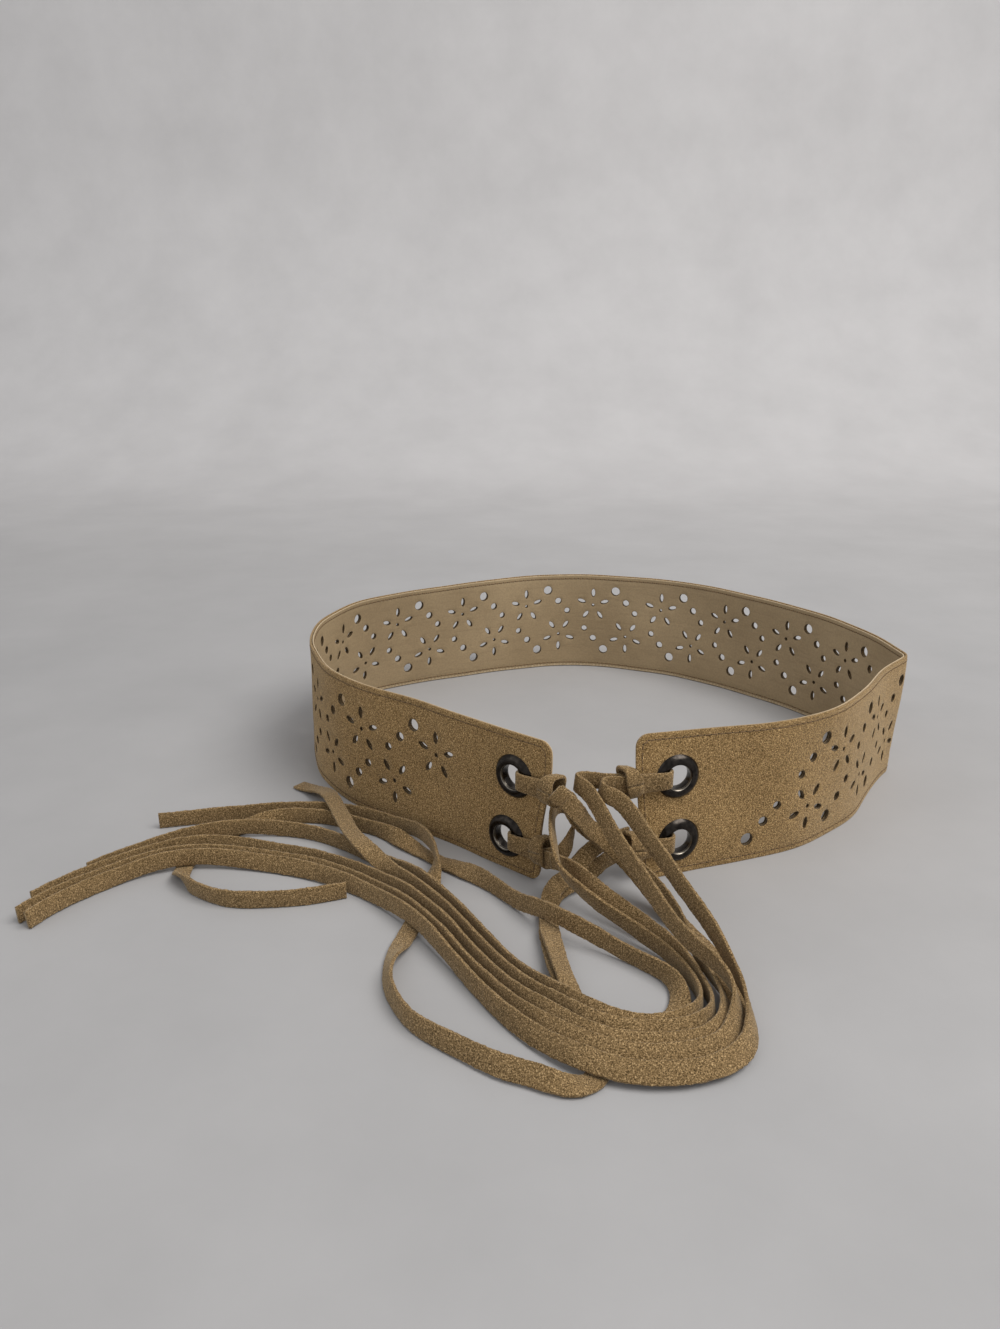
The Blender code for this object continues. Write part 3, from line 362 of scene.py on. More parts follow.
def add_mesh(name, vertices, faces, materials, sharp=None):
    """A smooth-shaded object; edges over the sharp angle in degrees stay crisp."""
    mesh = bpy.data.meshes.new(name)
    mesh.from_pydata([tuple(v) for v in vertices], [], [tuple(int(i) for i in f) for f in faces])
    for material in materials:
        mesh.materials.append(material)
    mesh.polygons.foreach_set("use_smooth", [True] * len(mesh.polygons))
    obj = bpy.data.objects.new(name, mesh)
    bpy.context.scene.collection.objects.link(obj)
    if sharp is not None:
        mesh.set_sharp_from_angle(angle=math.radians(sharp))
    mesh.update()
    return obj


# Camera
scene = bpy.context.scene
camera_data = bpy.data.cameras.new("camera")
camera = bpy.data.objects.new("camera", camera_data)
scene.collection.objects.link(camera)
scene.camera = camera
camera_data.sensor_width = 36.0
camera_data.lens = 26.55
camera_data.clip_start = 0.01
camera.location = (-0.058 + MOVED[0], -0.5618 + MOVED[1], 0.245)
camera.rotation_euler = (math.radians(71.23), 0.0, 0.0)


# Materials
def node_material(name):
    """A new material with its node tree, its shader and the object's own coordinates."""
    material = bpy.data.materials.new(name)
    material.use_nodes = True
    tree = material.node_tree
    shader = tree.nodes["Principled BSDF"]
    coordinates = tree.nodes.new("ShaderNodeTexCoord")
    return material, tree, shader, coordinates.outputs["Object"]


def noise(tree, place, scale, detail, roughness, stretch=None):
    node = tree.nodes.new("ShaderNodeTexNoise")
    node.inputs["Scale"].default_value = scale
    node.inputs["Detail"].default_value = detail
    node.inputs["Roughness"].default_value = roughness
    if stretch is not None:
        mapping = tree.nodes.new("ShaderNodeMapping")
        mapping.inputs["Scale"].default_value = stretch
        tree.links.new(place, mapping.inputs["Vector"])
        place = mapping.outputs["Vector"]
    tree.links.new(place, node.inputs["Vector"])
    return node.outputs["Fac"]


def ramp(tree, value, stops):
    node = tree.nodes.new("ShaderNodeValToRGB")
    tree.links.new(value, node.inputs["Fac"])
    points = node.color_ramp.elements
    while len(points) < len(stops):
        points.new(0.5)
    for point, (position, colour) in zip(points, stops):
        point.position = position
        point.color = (*colour, 1.0)
    return node.outputs["Color"]


def multiply(tree, share, a, b):
    """Colour a multiplied by colour b, as far as the share says."""
    node = tree.nodes.new("ShaderNodeMix")
    node.data_type = "RGBA"
    node.blend_type = "MULTIPLY"
    node.inputs[0].default_value = share
    tree.links.new(a, node.inputs[6])
    tree.links.new(b, node.inputs[7])
    return node.outputs[2]


def bump(tree, shader, value, distance, strength, below=None):
    """Bumps of the value on top of those below, linked to the shader."""
    node = tree.nodes.new("ShaderNodeBump")
    node.inputs["Distance"].default_value = distance
    node.inputs["Strength"].default_value = strength
    tree.links.new(value, node.inputs["Height"])
    if below is not None:
        tree.links.new(below, node.inputs["Normal"])
    tree.links.new(node.outputs["Normal"], shader.inputs["Normal"])
    return node.outputs["Normal"]


def suede_material(name, dark, middle, light, blotch=0.5):
    """Napped leather: a grain of dark and light fibre tips over a soft brushed variation."""
    material, tree, shader, place = node_material(name)
    grain = noise(tree, place, 2000.0, 3.0, 0.65)
    colour = ramp(tree, grain, [(0.37, dark), (0.48, middle), (0.54, middle), (0.64, light)])
    clumps = noise(tree, place, 1250.0, 2.0, 0.6)
    coarse = ramp(tree, clumps, [(0.36, (0.66, 0.64, 0.61)), (0.62, (1.18, 1.18, 1.18))])
    colour = multiply(tree, 0.8, colour, coarse)
    patches = noise(tree, place, 26.0, 3.0, 0.6)
    brushed = ramp(tree, patches, [(0.3, (0.80, 0.79, 0.77)), (0.7, (1.10, 1.10, 1.10))])
    colour = multiply(tree, blotch, colour, brushed)
    tree.links.new(colour, shader.inputs["Base Color"])
    shader.inputs["Roughness"].default_value = 0.95
    shader.inputs["Specular IOR Level"].default_value = 0.12
    shader.inputs["Sheen Weight"].default_value = 0.35
    shader.inputs["Sheen Roughness"].default_value = 0.45
    shader.inputs["Sheen Tint"].default_value = (0.95, 0.82, 0.62, 1.0)
    first = bump(tree, shader, noise(tree, place, 420.0, 2.0, 0.6), 0.0005, 0.5)
    bump(tree, shader, grain, 0.00035, 0.8, first)
    return material


suede = suede_material("suede_look", (0.070, 0.041, 0.015), (0.330, 0.205, 0.083), (0.74, 0.51, 0.245))
# Painted shade: the laces' suede is a darker copy of the band's, for lace faces that turn from the light.
lace_shaded_suede = suede_material("lace_shaded_look", (0.060, 0.036, 0.014), (0.235, 0.152, 0.068),
                            (0.55, 0.38, 0.195), 0.36)
cut_suede = suede_material("cut_edge_look", (0.11, 0.066, 0.026), (0.29, 0.185, 0.082),
                           (0.55, 0.39, 0.20), 0.30)
# Painted shade: a near-black suede for the walls of the punched holes, where shade falls inside them.
hole_shade_suede = suede_material("hole_wall_shade_look", (0.030, 0.019, 0.009), (0.075, 0.048, 0.023),
                            (0.15, 0.10, 0.05), 0.30)


def lining_material():
    """Smooth grain leather with faint creases along the band, their colour darkened as painted shade, and a
    soft sheen.
    """
    material, tree, shader, place = node_material("lining_look")
    patches = noise(tree, place, 14.0, 3.0, 0.55)
    cloud = ramp(tree, patches, [(0.3, (0.325, 0.235, 0.131)), (0.7, (0.415, 0.307, 0.178))])
    pores = noise(tree, place, 900.0, 2.0, 0.5)
    speck = ramp(tree, pores, [(0.35, (0.90, 0.90, 0.90)), (0.65, (1.05, 1.05, 1.05))])
    colour = multiply(tree, 1.0, cloud, speck)
    lines = noise(tree, place, 40.0, 4.0, 0.6, (1.0, 1.0, 14.0))
    # Painted shade in the creases: the crease lines darken the colour, on top of their bumps.
    crease = ramp(tree, lines, [(0.38, (0.86, 0.85, 0.84)), (0.46, (1.0, 1.0, 1.0))])
    colour = multiply(tree, 0.5, colour, crease)
    tree.links.new(colour, shader.inputs["Base Color"])
    shader.inputs["Roughness"].default_value = 0.52
    shader.inputs["Specular IOR Level"].default_value = 0.35
    first = bump(tree, shader, lines, 0.0004, 0.25)
    bump(tree, shader, noise(tree, place, 1500.0, 2.0, 0.5), 0.00008, 0.5, first)
    return material


lining = lining_material()


def mottled_material(name, low, high, scale, roughness, metallic, depth):
    """One colour that varies a little between low and high, with bumps of that depth."""
    material, tree, shader, place = node_material(name)
    value = noise(tree, place, scale, 3.0, 0.6)
    tree.links.new(ramp(tree, value, [(0.35, low), (0.65, high)]), shader.inputs["Base Color"])
    shader.inputs["Roughness"].default_value = roughness
    shader.inputs["Metallic"].default_value = metallic
    if depth > 0.0:
        bump(tree, shader, value, depth, 0.6)
    return material


lining_edge = mottled_material("lining_edge_look", (0.44, 0.33, 0.20), (0.62, 0.49, 0.32),
                               700.0, 0.75, 0.0, 0.0001)
thread = mottled_material("thread_look", (0.12, 0.070, 0.030), (0.24, 0.150, 0.068),
                          2500.0, 0.8, 0.0, 0.0001)
# Painted shade: dark discs where the needle's holes are.
needle_hole_shade = mottled_material("needle_hole_shade_look", (0.05, 0.032, 0.016), (0.09, 0.06, 0.03),
                               900.0, 0.95, 0.0, 0.0)
metal = mottled_material("bronze_look", (0.022, 0.019, 0.017), (0.050, 0.043, 0.037),
                         500.0, 0.24, 1.0, 0.00001)
# Painted highlight: a lighter copy of the eyelet metal for the bright ring on the barrel's inner roll.
rim_highlight_metal = mottled_material("bronze_inside_highlight_look", (0.17, 0.15, 0.12), (0.26, 0.23, 0.19),
                             600.0, 0.32, 1.0, 0.00001)


# Laces: eight flat suede tails along the CAD routes
def lace_frames(curve):
    """Directions of the lace's width and of its face's normal at each row of its curve."""
    heading = unit_rows(np.gradient(curve[:, :3], axis=0))
    right = unit_rows(np.stack([heading[:, 1], -heading[:, 0], np.zeros(len(curve))], axis=1))
    upright = np.cross(right, heading)
    lean = np.radians(curve[:, 3])[:, None]
    width = np.cos(lean) * upright + np.sin(lean) * right
    return width, np.cross(heading, width)


def wander(along, sizes, phase):
    """A small smooth variation, the same on every run."""
    total = np.zeros(len(along))
    for i, (wave, size) in enumerate(sizes):
        total += size * np.sin(2 * math.pi * along / wave + phase * (1.7 + i) + 0.9 * i)
    return total


def section(width, thickness, corner):
    """A flat bar's outline with rounded corners: pairs of across and through."""
    points = []
    for cx, cy, start in ((1, 1, 0), (-1, 1, 90), (-1, -1, 180), (1, -1, 270)):
        for step in (0, 45, 90):
            angle = math.radians(start + step)
            points.append((cx * (width / 2 - corner) + corner * math.cos(angle),
                           cy * (thickness / 2 - corner) + corner * math.sin(angle)))
    return np.array(points)


def sweep(middle, width_way, normal, widths, thick, corner, rough):
    """Vertices and faces of a flat bar swept along stations, with closed ends and edges ragged by rough."""
    rings = []
    ragged = rng.uniform(-rough, rough, (len(middle), 4))
    for i in range(len(middle)):
        outline = section(widths[i], thick[i], min(corner, thick[i] * 0.45))
        corner_of = (outline[:, 0] < 0) * 2 + (outline[:, 1] < 0)
        outline[:, 0] += np.sign(outline[:, 0]) * ragged[i][corner_of.astype(int)]
        rings.append(middle[i] + outline[:, :1] * width_way[i] + outline[:, 1:] * normal[i])
    vertices = np.concatenate(rings)
    ring = len(rings[0])
    faces = []
    for i in range(len(middle) - 1):
        for j in range(ring):
            a = i * ring + j
            b = i * ring + (j + 1) % ring
            faces.append((a, b, b + ring, a + ring))
    last = (len(middle) - 1) * ring
    faces.append(tuple(range(ring))[::-1])
    faces.append(tuple(last + j for j in range(ring)))
    return vertices, faces


laces = {}
for number, (name, rows) in enumerate(LACE_ROUTES.items()):
    fine = smooth_curve(rows, 1500)
    fine[:, :3] *= MM
    fine[:, 4] *= MM
    along = arc_lengths(fine[:, :3])
    fine = between(np.linspace(0.0, along[-1], 500), along, fine)
    width, normal = lace_frames(fine)
    fine[:, :3] += normal * fine[:, 4:5]
    half_height = np.abs(width[:, 2]) * LACE_WIDTH / 2 + np.abs(normal[:, 2]) * LACE_THICKNESS / 2
    fine[:, 2] = np.maximum(fine[:, 2], half_height + LACE_LIFT)
    path = fine[:, :3] + MOVED
    along = arc_lengths(path)
    at = np.linspace(0.0, along[-1], int(along[-1] / LACE_STEP))
    path = between(at, along, path)
    width = unit_rows(between(at, along, width))
    normal = unit_rows(between(at, along, normal))
    uneven = wander(at, [(0.031, 0.018), (0.012, 0.012), (0.0053, 0.008)], number + 1.3)
    widths = LACE_WIDTH * (0.975 + uneven)
    thick = LACE_THICKNESS * (0.93 + wander(at, [(0.023, 0.04), (0.0071, 0.03)], number + 0.4))
    vertices, faces = sweep(path, width, normal, widths, thick, LACE_CORNER, LACE_RAGGEDNESS)
    vertices[:, 2] = np.maximum(vertices[:, 2], LOWEST_LACE)
    obj = add_mesh(name + "_suede", vertices, faces, [lace_shaded_suede])
    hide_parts(name)
    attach(obj, "root")
    laces[name] = (path, width, normal)


# Band: pierced layers
def signed_power(value, power):
    return math.copysign(abs(value) ** power, value)


def petal(centre, angle, grow):
    """A pointed oval with its long axis along the angle, grown outwards on all sides."""
    length = PETAL_LENGTH / 2 + grow * 1.25
    half = PETAL_WIDTH / 2 + grow
    outline = []
    for i in range(16):
        turn = 2 * math.pi * i / 16
        across = half * signed_power(math.sin(turn), 1.25)
        outline.append((length * signed_power(math.cos(turn), 0.92), across))
    return [(centre[0] + (PETAL_RING + u) * math.cos(angle) - v * math.sin(angle),
             centre[1] + (PETAL_RING + u) * math.sin(angle) + v * math.cos(angle)) for u, v in outline]


def round_hole(centre, diameter, sides, grow):
    """A circle's outline, grown outwards."""
    return [(centre[0] + (diameter / 2 + grow) * math.cos(2 * math.pi * i / sides),
             centre[1] + (diameter / 2 + grow) * math.sin(2 * math.pi * i / sides)) for i in range(sides)]


def pattern_repeats():
    """Middles of the pattern's repeats that fit between the two blank ends."""
    shift, _, diameter = DOTS[0]
    room = band.length - BLANK_RIGHT_END - (shift + diameter / 2) - PATTERN_START
    return [PATTERN_START + REPEAT_PITCH * k for k in range(int(room / REPEAT_PITCH) + 1)]


def all_holes(grow):
    """Every punched hole's outline: two rows of flowers and the slanted lines of dots."""
    repeats = pattern_repeats()
    holes = []
    for k, s in enumerate(repeats):
        middle = pattern_middle(s)
        if k < len(repeats) - 1:
            centre = placed(s + FLOWER_SHIFT, middle + FLOWER_RISE)
            holes += [petal(centre, math.pi / 2 + arm * 2 * math.pi / 5, grow) for arm in range(5)]
            holes.append(round_hole(centre, FLOWER_MIDDLE, 10, grow))
        if k > 0:
            centre = placed(s - FLOWER_SHIFT, middle - FLOWER_RISE)
            holes += [petal(centre, -math.pi / 2 + arm * 2 * math.pi / 5, grow) for arm in range(5)]
            holes.append(round_hole(centre, FLOWER_MIDDLE, 10, grow))
            for ds, dz, size in DOTS:
                for side in (-1, 1):
                    holes.append(round_hole(placed(s + side * ds, middle - side * dz), size, 18, grow))
    return holes


def eyelet_places():
    """Flat places of the four eyelets, by name."""
    places = {}
    for side, s in (("left", EYELET_FROM_END), ("right", band.length - EYELET_FROM_END)):
        for row, sign in (("upper", 0.5), ("lower", -0.5)):
            places[f"{row}_{side}"] = placed(s, pattern_middle(s) + sign * EYELET_SPREAD)
    return places


def corner_points(s, z, radius, angles):
    """Points of an arc around a flat place, at the angles in degrees."""
    return [(s + radius * math.cos(math.radians(a)), z + radius * math.sin(math.radians(a))) for a in angles]


def strip_outline(inset, shrink):
    """The strip's outline as closely spaced points, with rounded corners."""
    radius = END_CORNER_RADIUS - shrink
    low_s = inset + shrink
    low_z = inset + shrink
    high_s = band.length - inset - shrink
    high_z = BAND_HEIGHT - inset - shrink
    left = low_s + radius
    right = high_s - radius
    bottom = low_z + radius
    top = high_z - radius
    span = np.linspace(left, right, 330)
    rise = np.linspace(bottom, top, 24)
    outline = [(s, low_z) for s in span]
    outline += corner_points(right, bottom, radius, range(-75, 0, 15))
    outline += [(high_s, z) for z in rise]
    outline += corner_points(right, top, radius, range(15, 90, 15))
    outline += [(s, high_z) for s in span[::-1]]
    outline += corner_points(left, top, radius, range(105, 180, 15))
    outline += [(low_s, z) for z in rise[::-1]]
    outline += corner_points(left, bottom, radius, range(195, 270, 15))
    return [placed(s, z) for s, z in outline]


def edge_distance(s, z):
    """How far a flat point is from the nearest edge of the strip."""
    s = s - lean_out(s, z)
    return np.minimum(np.minimum(s, band.length - s), np.minimum(z, BAND_HEIGHT - z))


def relief(s, z):
    """How deep a leather face lies: the stitched groove and the thinned rim."""
    edge = edge_distance(s, z)
    groove = GROOVE_DEPTH * np.exp(-((edge - STITCH_INSET) / GROOVE_WIDTH) ** 2)
    return groove + RIM_DEPTH * np.exp(-edge / RIM_WIDTH)


def waves(s, z):
    """Slight unevenness of the whole band, the same through its thickness."""
    fade = np.clip(np.minimum(s, band.length - s) / 0.05, 0.0, 1.0)
    wave = 0.00035 * np.sin(s * 61.0 + z * 35.0) + 0.00025 * np.sin(s * 133.0 - z * 60.0 + 1.0)
    wave += 0.00022 * np.sin(s * 29.0 + z * 110.0 + 2.0)
    return wave * fade


def grid_points(inset, hole_centres, hole_sizes):
    """Flat points inside the strip and clear of its holes, denser along the stitches and the crease."""
    rows = GRID_EDGE_ROWS + list(np.arange(GRID_FIRST_ROW, BAND_HEIGHT - GRID_FIRST_ROW, GRID_ROW_STEP))
    rows += [BAND_HEIGHT - row for row in GRID_EDGE_ROWS[::-1]]
    near_crease = np.arange(band.crease - CREASE_ZONE, band.crease + CREASE_ZONE, CREASE_STEP)
    points = []
    for j, z in enumerate(rows):
        start = inset + GRID_START + (j % 2) * GRID_STEP / 2
        s = np.arange(start, band.length - inset - GRID_EDGE_GAP, GRID_STEP)
        if 2 < j < len(rows) - 3:
            s = np.concatenate([s[np.abs(s - band.crease) > CREASE_ZONE + 0.0005], near_crease])
        near_end = np.minimum(s, band.length - s)
        near_side = min(z, BAND_HEIGHT - z)
        in_corner = (near_end < GRID_CORNER) & (near_side < GRID_CORNER)
        outside = np.hypot(near_end - GRID_CORNER, near_side - GRID_CORNER) > GRID_CORNER - 0.0013
        keep = (near_end > GRID_EDGE_GAP) & ~(in_corner & outside)
        for value in s[keep] + lean_out(s[keep], z):
            gap = np.hypot(hole_centres[:, 0] - value, hole_centres[:, 1] - z) - hole_sizes
            if gap.min() > GRID_HOLE_GAP:
                points.append((value, z))
    return points


def outside_holes(middles, holes, hole_centres, hole_sizes):
    """Which of the flat points lie in none of the holes."""
    free = np.ones(len(middles), bool)
    for hole, centre, size in zip(holes, hole_centres, hole_sizes):
        ahead = np.roll(hole, -1, axis=0)
        slope = ahead - hole
        near = np.where(np.hypot(middles[:, 0] - centre[0], middles[:, 1] - centre[1]) < size)[0]
        for i in near:
            x, y = middles[i]
            crossed = (hole[:, 1] > y) != (ahead[:, 1] > y)
            edge = hole[crossed]
            hit = edge[:, 0] + (y - edge[:, 1]) / slope[crossed, 1] * slope[crossed, 0]
            if np.sum(x < hit) % 2:
                free[i] = False
    return free


def make_layer(name, inset, near, far, materials, node):
    """A pierced sheet between two depths. Materials: outer face, inner face, edge, walls of the holes."""
    places = eyelet_places().values()
    loops = [strip_outline(inset, EDGE_CHAMFER)] + all_holes(EDGE_CHAMFER)
    loops += [round_hole(place, 2 * BARREL_RADIUS, 24, EDGE_CHAMFER) for place in places]
    walls = [strip_outline(inset, 0.0)] + all_holes(0.0)
    walls += [round_hole(place, 2 * BARREL_RADIUS, 24, 0.0) for place in places]
    points = []
    edges = []
    starts = []
    for loop in loops:
        first = len(points)
        starts.append(first)
        points += loop
        edges += [(first + i, first + (i + 1) % len(loop)) for i in range(len(loop))]
    holes = [np.array(loop) for loop in loops[1:]]
    centres = np.array([hole.mean(axis=0) for hole in holes])
    sizes = np.array([np.linalg.norm(hole - centre, axis=1).max() for hole, centre in zip(holes, centres)])
    points += grid_points(inset, centres, sizes)
    flat, _, triangles, *_ = delaunay_2d_cdt([Vector(point) for point in points], edges, [], 1, 1e-7)
    flat = np.array([(point.x, point.y) for point in flat])
    triangles = np.array(triangles)
    triangles = triangles[outside_holes(flat[triangles].mean(axis=1), holes, centres, sizes)]
    size = len(flat)
    sway = waves(flat[:, 0], flat[:, 1])
    depth = relief(flat[:, 0], flat[:, 1])
    vertices = [band.at(flat[:, 0], flat[:, 1], near + sway + depth),
                band.at(flat[:, 0], flat[:, 1], far + sway - depth)]
    faces = [tuple(t[::-1]) for t in triangles] + [tuple(t + size) for t in triangles]
    lip = flat[triangles].mean(axis=1)[:, 1] < LIP_HEIGHT
    material_index = [0] * len(triangles) + [0 if low else 1 for low in lip]
    base = 2 * size
    for kind, first, wall in zip([2] + [3] * len(holes), starts, walls):
        wall = np.array(wall)
        sway = waves(wall[:, 0], wall[:, 1])
        depth = WALL_INSET + relief(wall[:, 0], wall[:, 1])
        vertices += [band.at(wall[:, 0], wall[:, 1], near + sway + depth),
                     band.at(wall[:, 0], wall[:, 1], far + sway - depth)]
        count = len(wall)
        for i in range(count):
            k = (i + 1) % count
            rings = [(first + i, first + k), (base + i, base + k), (base + count + i, base + count + k),
                     (first + i + size, first + k + size)]
            faces += [(a, b, d, c) for (a, b), (c, d) in zip(rings, rings[1:])]
            material_index += [kind] * 3
        base += 2 * count
    obj = add_mesh(name, np.concatenate(vertices), faces, materials)
    obj.data.polygons.foreach_set("material_index", material_index)
    work = bmesh.new()
    work.from_mesh(obj.data)
    bmesh.ops.recalc_face_normals(work, faces=work.faces[:])
    work.to_mesh(obj.data)
    work.free()
    obj.data.set_sharp_from_angle(angle=math.radians(50))
    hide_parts(node)
    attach(obj, "root")


make_layer("suede_outside", 0.0, 0.0, SUEDE_WALL,
           [suede, cut_suede, cut_suede, hole_shade_suede], "belt_suede")
make_layer("lining_inside", LINING_INSET, SUEDE_WALL + LAYER_GAP, BACK,
           [lining_edge, lining, lining_edge, hole_shade_suede], "belt_lining")


# Stitching near all edges, outside and inside
def stitch_track(distance):
    """Evenly spaced flat points around the strip, that far in from its edges."""
    radius = END_CORNER_RADIUS - distance
    left = distance + radius
    right = band.length - distance - radius
    bottom = distance + radius
    top = BAND_HEIGHT - distance - radius
    track = [(left, distance), (right, distance)]
    for s, z, start in ((right, bottom, -90), (right, top, 0), (left, top, 90), (left, bottom, 180)):
        track += corner_points(s, z, radius, range(start, start + 91, 10))
    track = np.array(track + [track[0]])
    along = arc_lengths(track)
    count = int(along[-1] / STITCH_PITCH)
    track = between(np.linspace(0.0, along[-1], count + 1), along, track)
    track[:, 0] += lean_out(track[:, 0], track[:, 1])
    return track


def make_stitches(name, depth, outward):
    """Short tapered threads along the track, each with a dark disc at its start as painted shade for the
    needle's hole.
    """
    track = stitch_track(STITCH_INSET)
    vertices = []
    faces = []
    kinds = []
    steps = 7
    sides = 6
    for here, ahead in zip(track, track[1:]):
        way = (ahead - here) / np.linalg.norm(ahead - here)
        across = np.array([-way[1], way[0]])
        first = len(vertices)
        start = here + way * STITCH_GAP
        end = ahead - way * STITCH_GAP
        for k in range(steps):
            u = k / (steps - 1)
            spot = start + (end - start) * u
            lift = STITCH_LIFT * math.sin(math.pi * u) ** 0.6 - STITCH_SINK
            thick = STITCH_RADIUS * (0.55 + 0.45 * math.sin(math.pi * u) ** 0.5)
            for j in range(sides):
                turn = 2 * math.pi * j / sides
                p = spot + across * math.cos(turn) * thick
                vertices.append((p[0], p[1], depth - outward * (lift + math.sin(turn) * thick * 0.8)))
        for k in range(steps - 1):
            for j in range(sides):
                a = first + k * sides + j
                b = first + k * sides + (j + 1) % sides
                faces.append((a, b, b + sides, a + sides))
                kinds.append(0)
        # Painted shade: a dark disc where the needle's hole is.
        hole = len(vertices)
        for j in range(8):
            turn = 2 * math.pi * j / 8
            p = here + way * math.cos(turn) * 0.00045 + across * math.sin(turn) * 0.0004
            vertices.append((p[0], p[1], depth - outward * 0.00004))
        faces.append(tuple(hole + j for j in range(8)))
        kinds.append(1)
    flat = np.array(vertices)
    grooved = flat[:, 2] + waves(flat[:, 0], flat[:, 1]) + outward * relief(flat[:, 0], flat[:, 1])
    obj = add_mesh(name, band.at(flat[:, 0], flat[:, 1], grooved), faces, [thread, needle_hole_shade])
    obj.data.polygons.foreach_set("material_index", kinds)
    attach(obj, "root")


make_stitches("stitching_outside", 0.0, 1.0)
make_stitches("stitching_inside", BACK, -1.0)


# Eyelets
def make_eyelet(name, place):
    """A turned ring: rolled rim outside, barrel through the band, flatter flange inside."""
    # Columns: distance out from the bore, depth.
    profile = [(0.0, 0.0022), (0.0, -0.0009), (0.00015, -0.0015), (0.0005, -0.0020), (0.0010, -0.00225),
               (0.0017, -0.0023), (0.0026, -0.0021), (0.0034, -0.0017), (0.0041, -0.0011), (0.0046, -0.0005),
               (0.00485, -0.00015), (0.0047, 0.0), (0.0008, 0.0), (0.0008, BACK + 0.0003),
               (0.0034, BACK + 0.0003), (0.0036, BACK + 0.0005), (0.0030, BACK + 0.0010),
               (0.0018, BACK + 0.0014), (0.0008, BACK + 0.0014), (0.0002, BACK + 0.0009)]
    sides = EYELET_SIDES
    turn = 2 * np.pi * np.arange(sides) / sides
    sway = float(waves(np.array(place[0]), np.array(place[1])))
    rings = []
    for out, depth in profile:
        s = place[0] + (EYELET_RADIUS + out) * np.cos(turn)
        z = place[1] + (EYELET_RADIUS + out) * np.sin(turn)
        rings.append(band.at(s, z, depth + sway))
    faces = []
    kinds = []
    count = len(profile)
    for i in range(count):
        k = (i + 1) % count
        for j in range(sides):
            m = (j + 1) % sides
            faces.append((i * sides + j, k * sides + j, k * sides + m, i * sides + m))
            # The barrel's first bends take the lighter metal of the painted highlight.
            kinds.append(1 if i in (1, 2) else 0)
    obj = add_mesh(f"eyelet_{name}_metal", np.concatenate(rings), faces, [metal, rim_highlight_metal], 60)
    obj.data.polygons.foreach_set("material_index", kinds)
    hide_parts(f"eyelet_{name}")
    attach(obj, "root")


for name, place in eyelet_places().items():
    make_eyelet(name, place)


# Hitches: straps through the eyelets and a wrapped collar round the start of the tails
def flat_sweep(points, ways, widths, thickness, corner):
    """Sweeps a flat strap through world points; the face's normal follows from path and width."""
    heading = unit_rows(np.gradient(points, axis=0))
    ways = unit_rows(ways - heading * np.sum(ways * heading, axis=1)[:, None])
    return sweep(points, ways, np.cross(heading, ways), widths, thickness, corner, 0.0)


def smooth_points(rows, count):
    """Points at even steps along a smooth curve through the rows."""
    rows = np.array(rows)
    along = arc_lengths(rows)
    tangent = np.gradient(rows, along, axis=0)
    at = np.linspace(0.0, along[-1], count)
    k = np.minimum(np.searchsorted(along, at, side="right") - 1, len(along) - 2)
    h = (along[k + 1] - along[k])[:, None]
    u = (at - along[k])[:, None] / h
    return ((2 * u ** 3 - 3 * u ** 2 + 1) * rows[k] + (u ** 3 - 2 * u ** 2 + u) * h * tangent[k]
            + (3 * u ** 2 - 2 * u ** 3) * rows[k + 1] + (u ** 3 - u ** 2) * h * tangent[k + 1])


def collar(place, end, towards, knot, tilt):
    """The lace's fold wrapped round the start of both tails."""
    middle = BACK / 2
    ring = []
    ways = []
    turns = np.linspace(0, 2 * math.pi, COLLAR_STEPS + 1)
    for turn in turns:
        c = math.cos(turn)
        s = math.sin(turn)
        front = max(c, 0.0) ** 0.7
        tall = COLLAR_HALF_HEIGHT * signed_power(s, 0.8)
        deep = COLLAR_HALF_DEPTH * signed_power(c, 0.8) + COLLAR_BULGE * front
        slant = tilt * tall - COLLAR_LEAN * front + 0.0008
        ring.append(band.at(end + towards * (knot + slant), place[1] + tall - 0.0004, middle - deep))
        ways.append(band.at(end + towards, place[1] + 0.15 * s, middle) - band.at(end, place[1], middle))
    widths = 0.0052 + 0.0022 * np.clip(np.cos(turns), 0.0, 1.0) + 0.0006 * np.sin(3 * turns + 1.0)
    thick = np.full(COLLAR_STEPS + 1, COLLAR_THICKNESS)
    return flat_sweep(np.array(ring), np.array(ways), widths, thick, 0.0006)


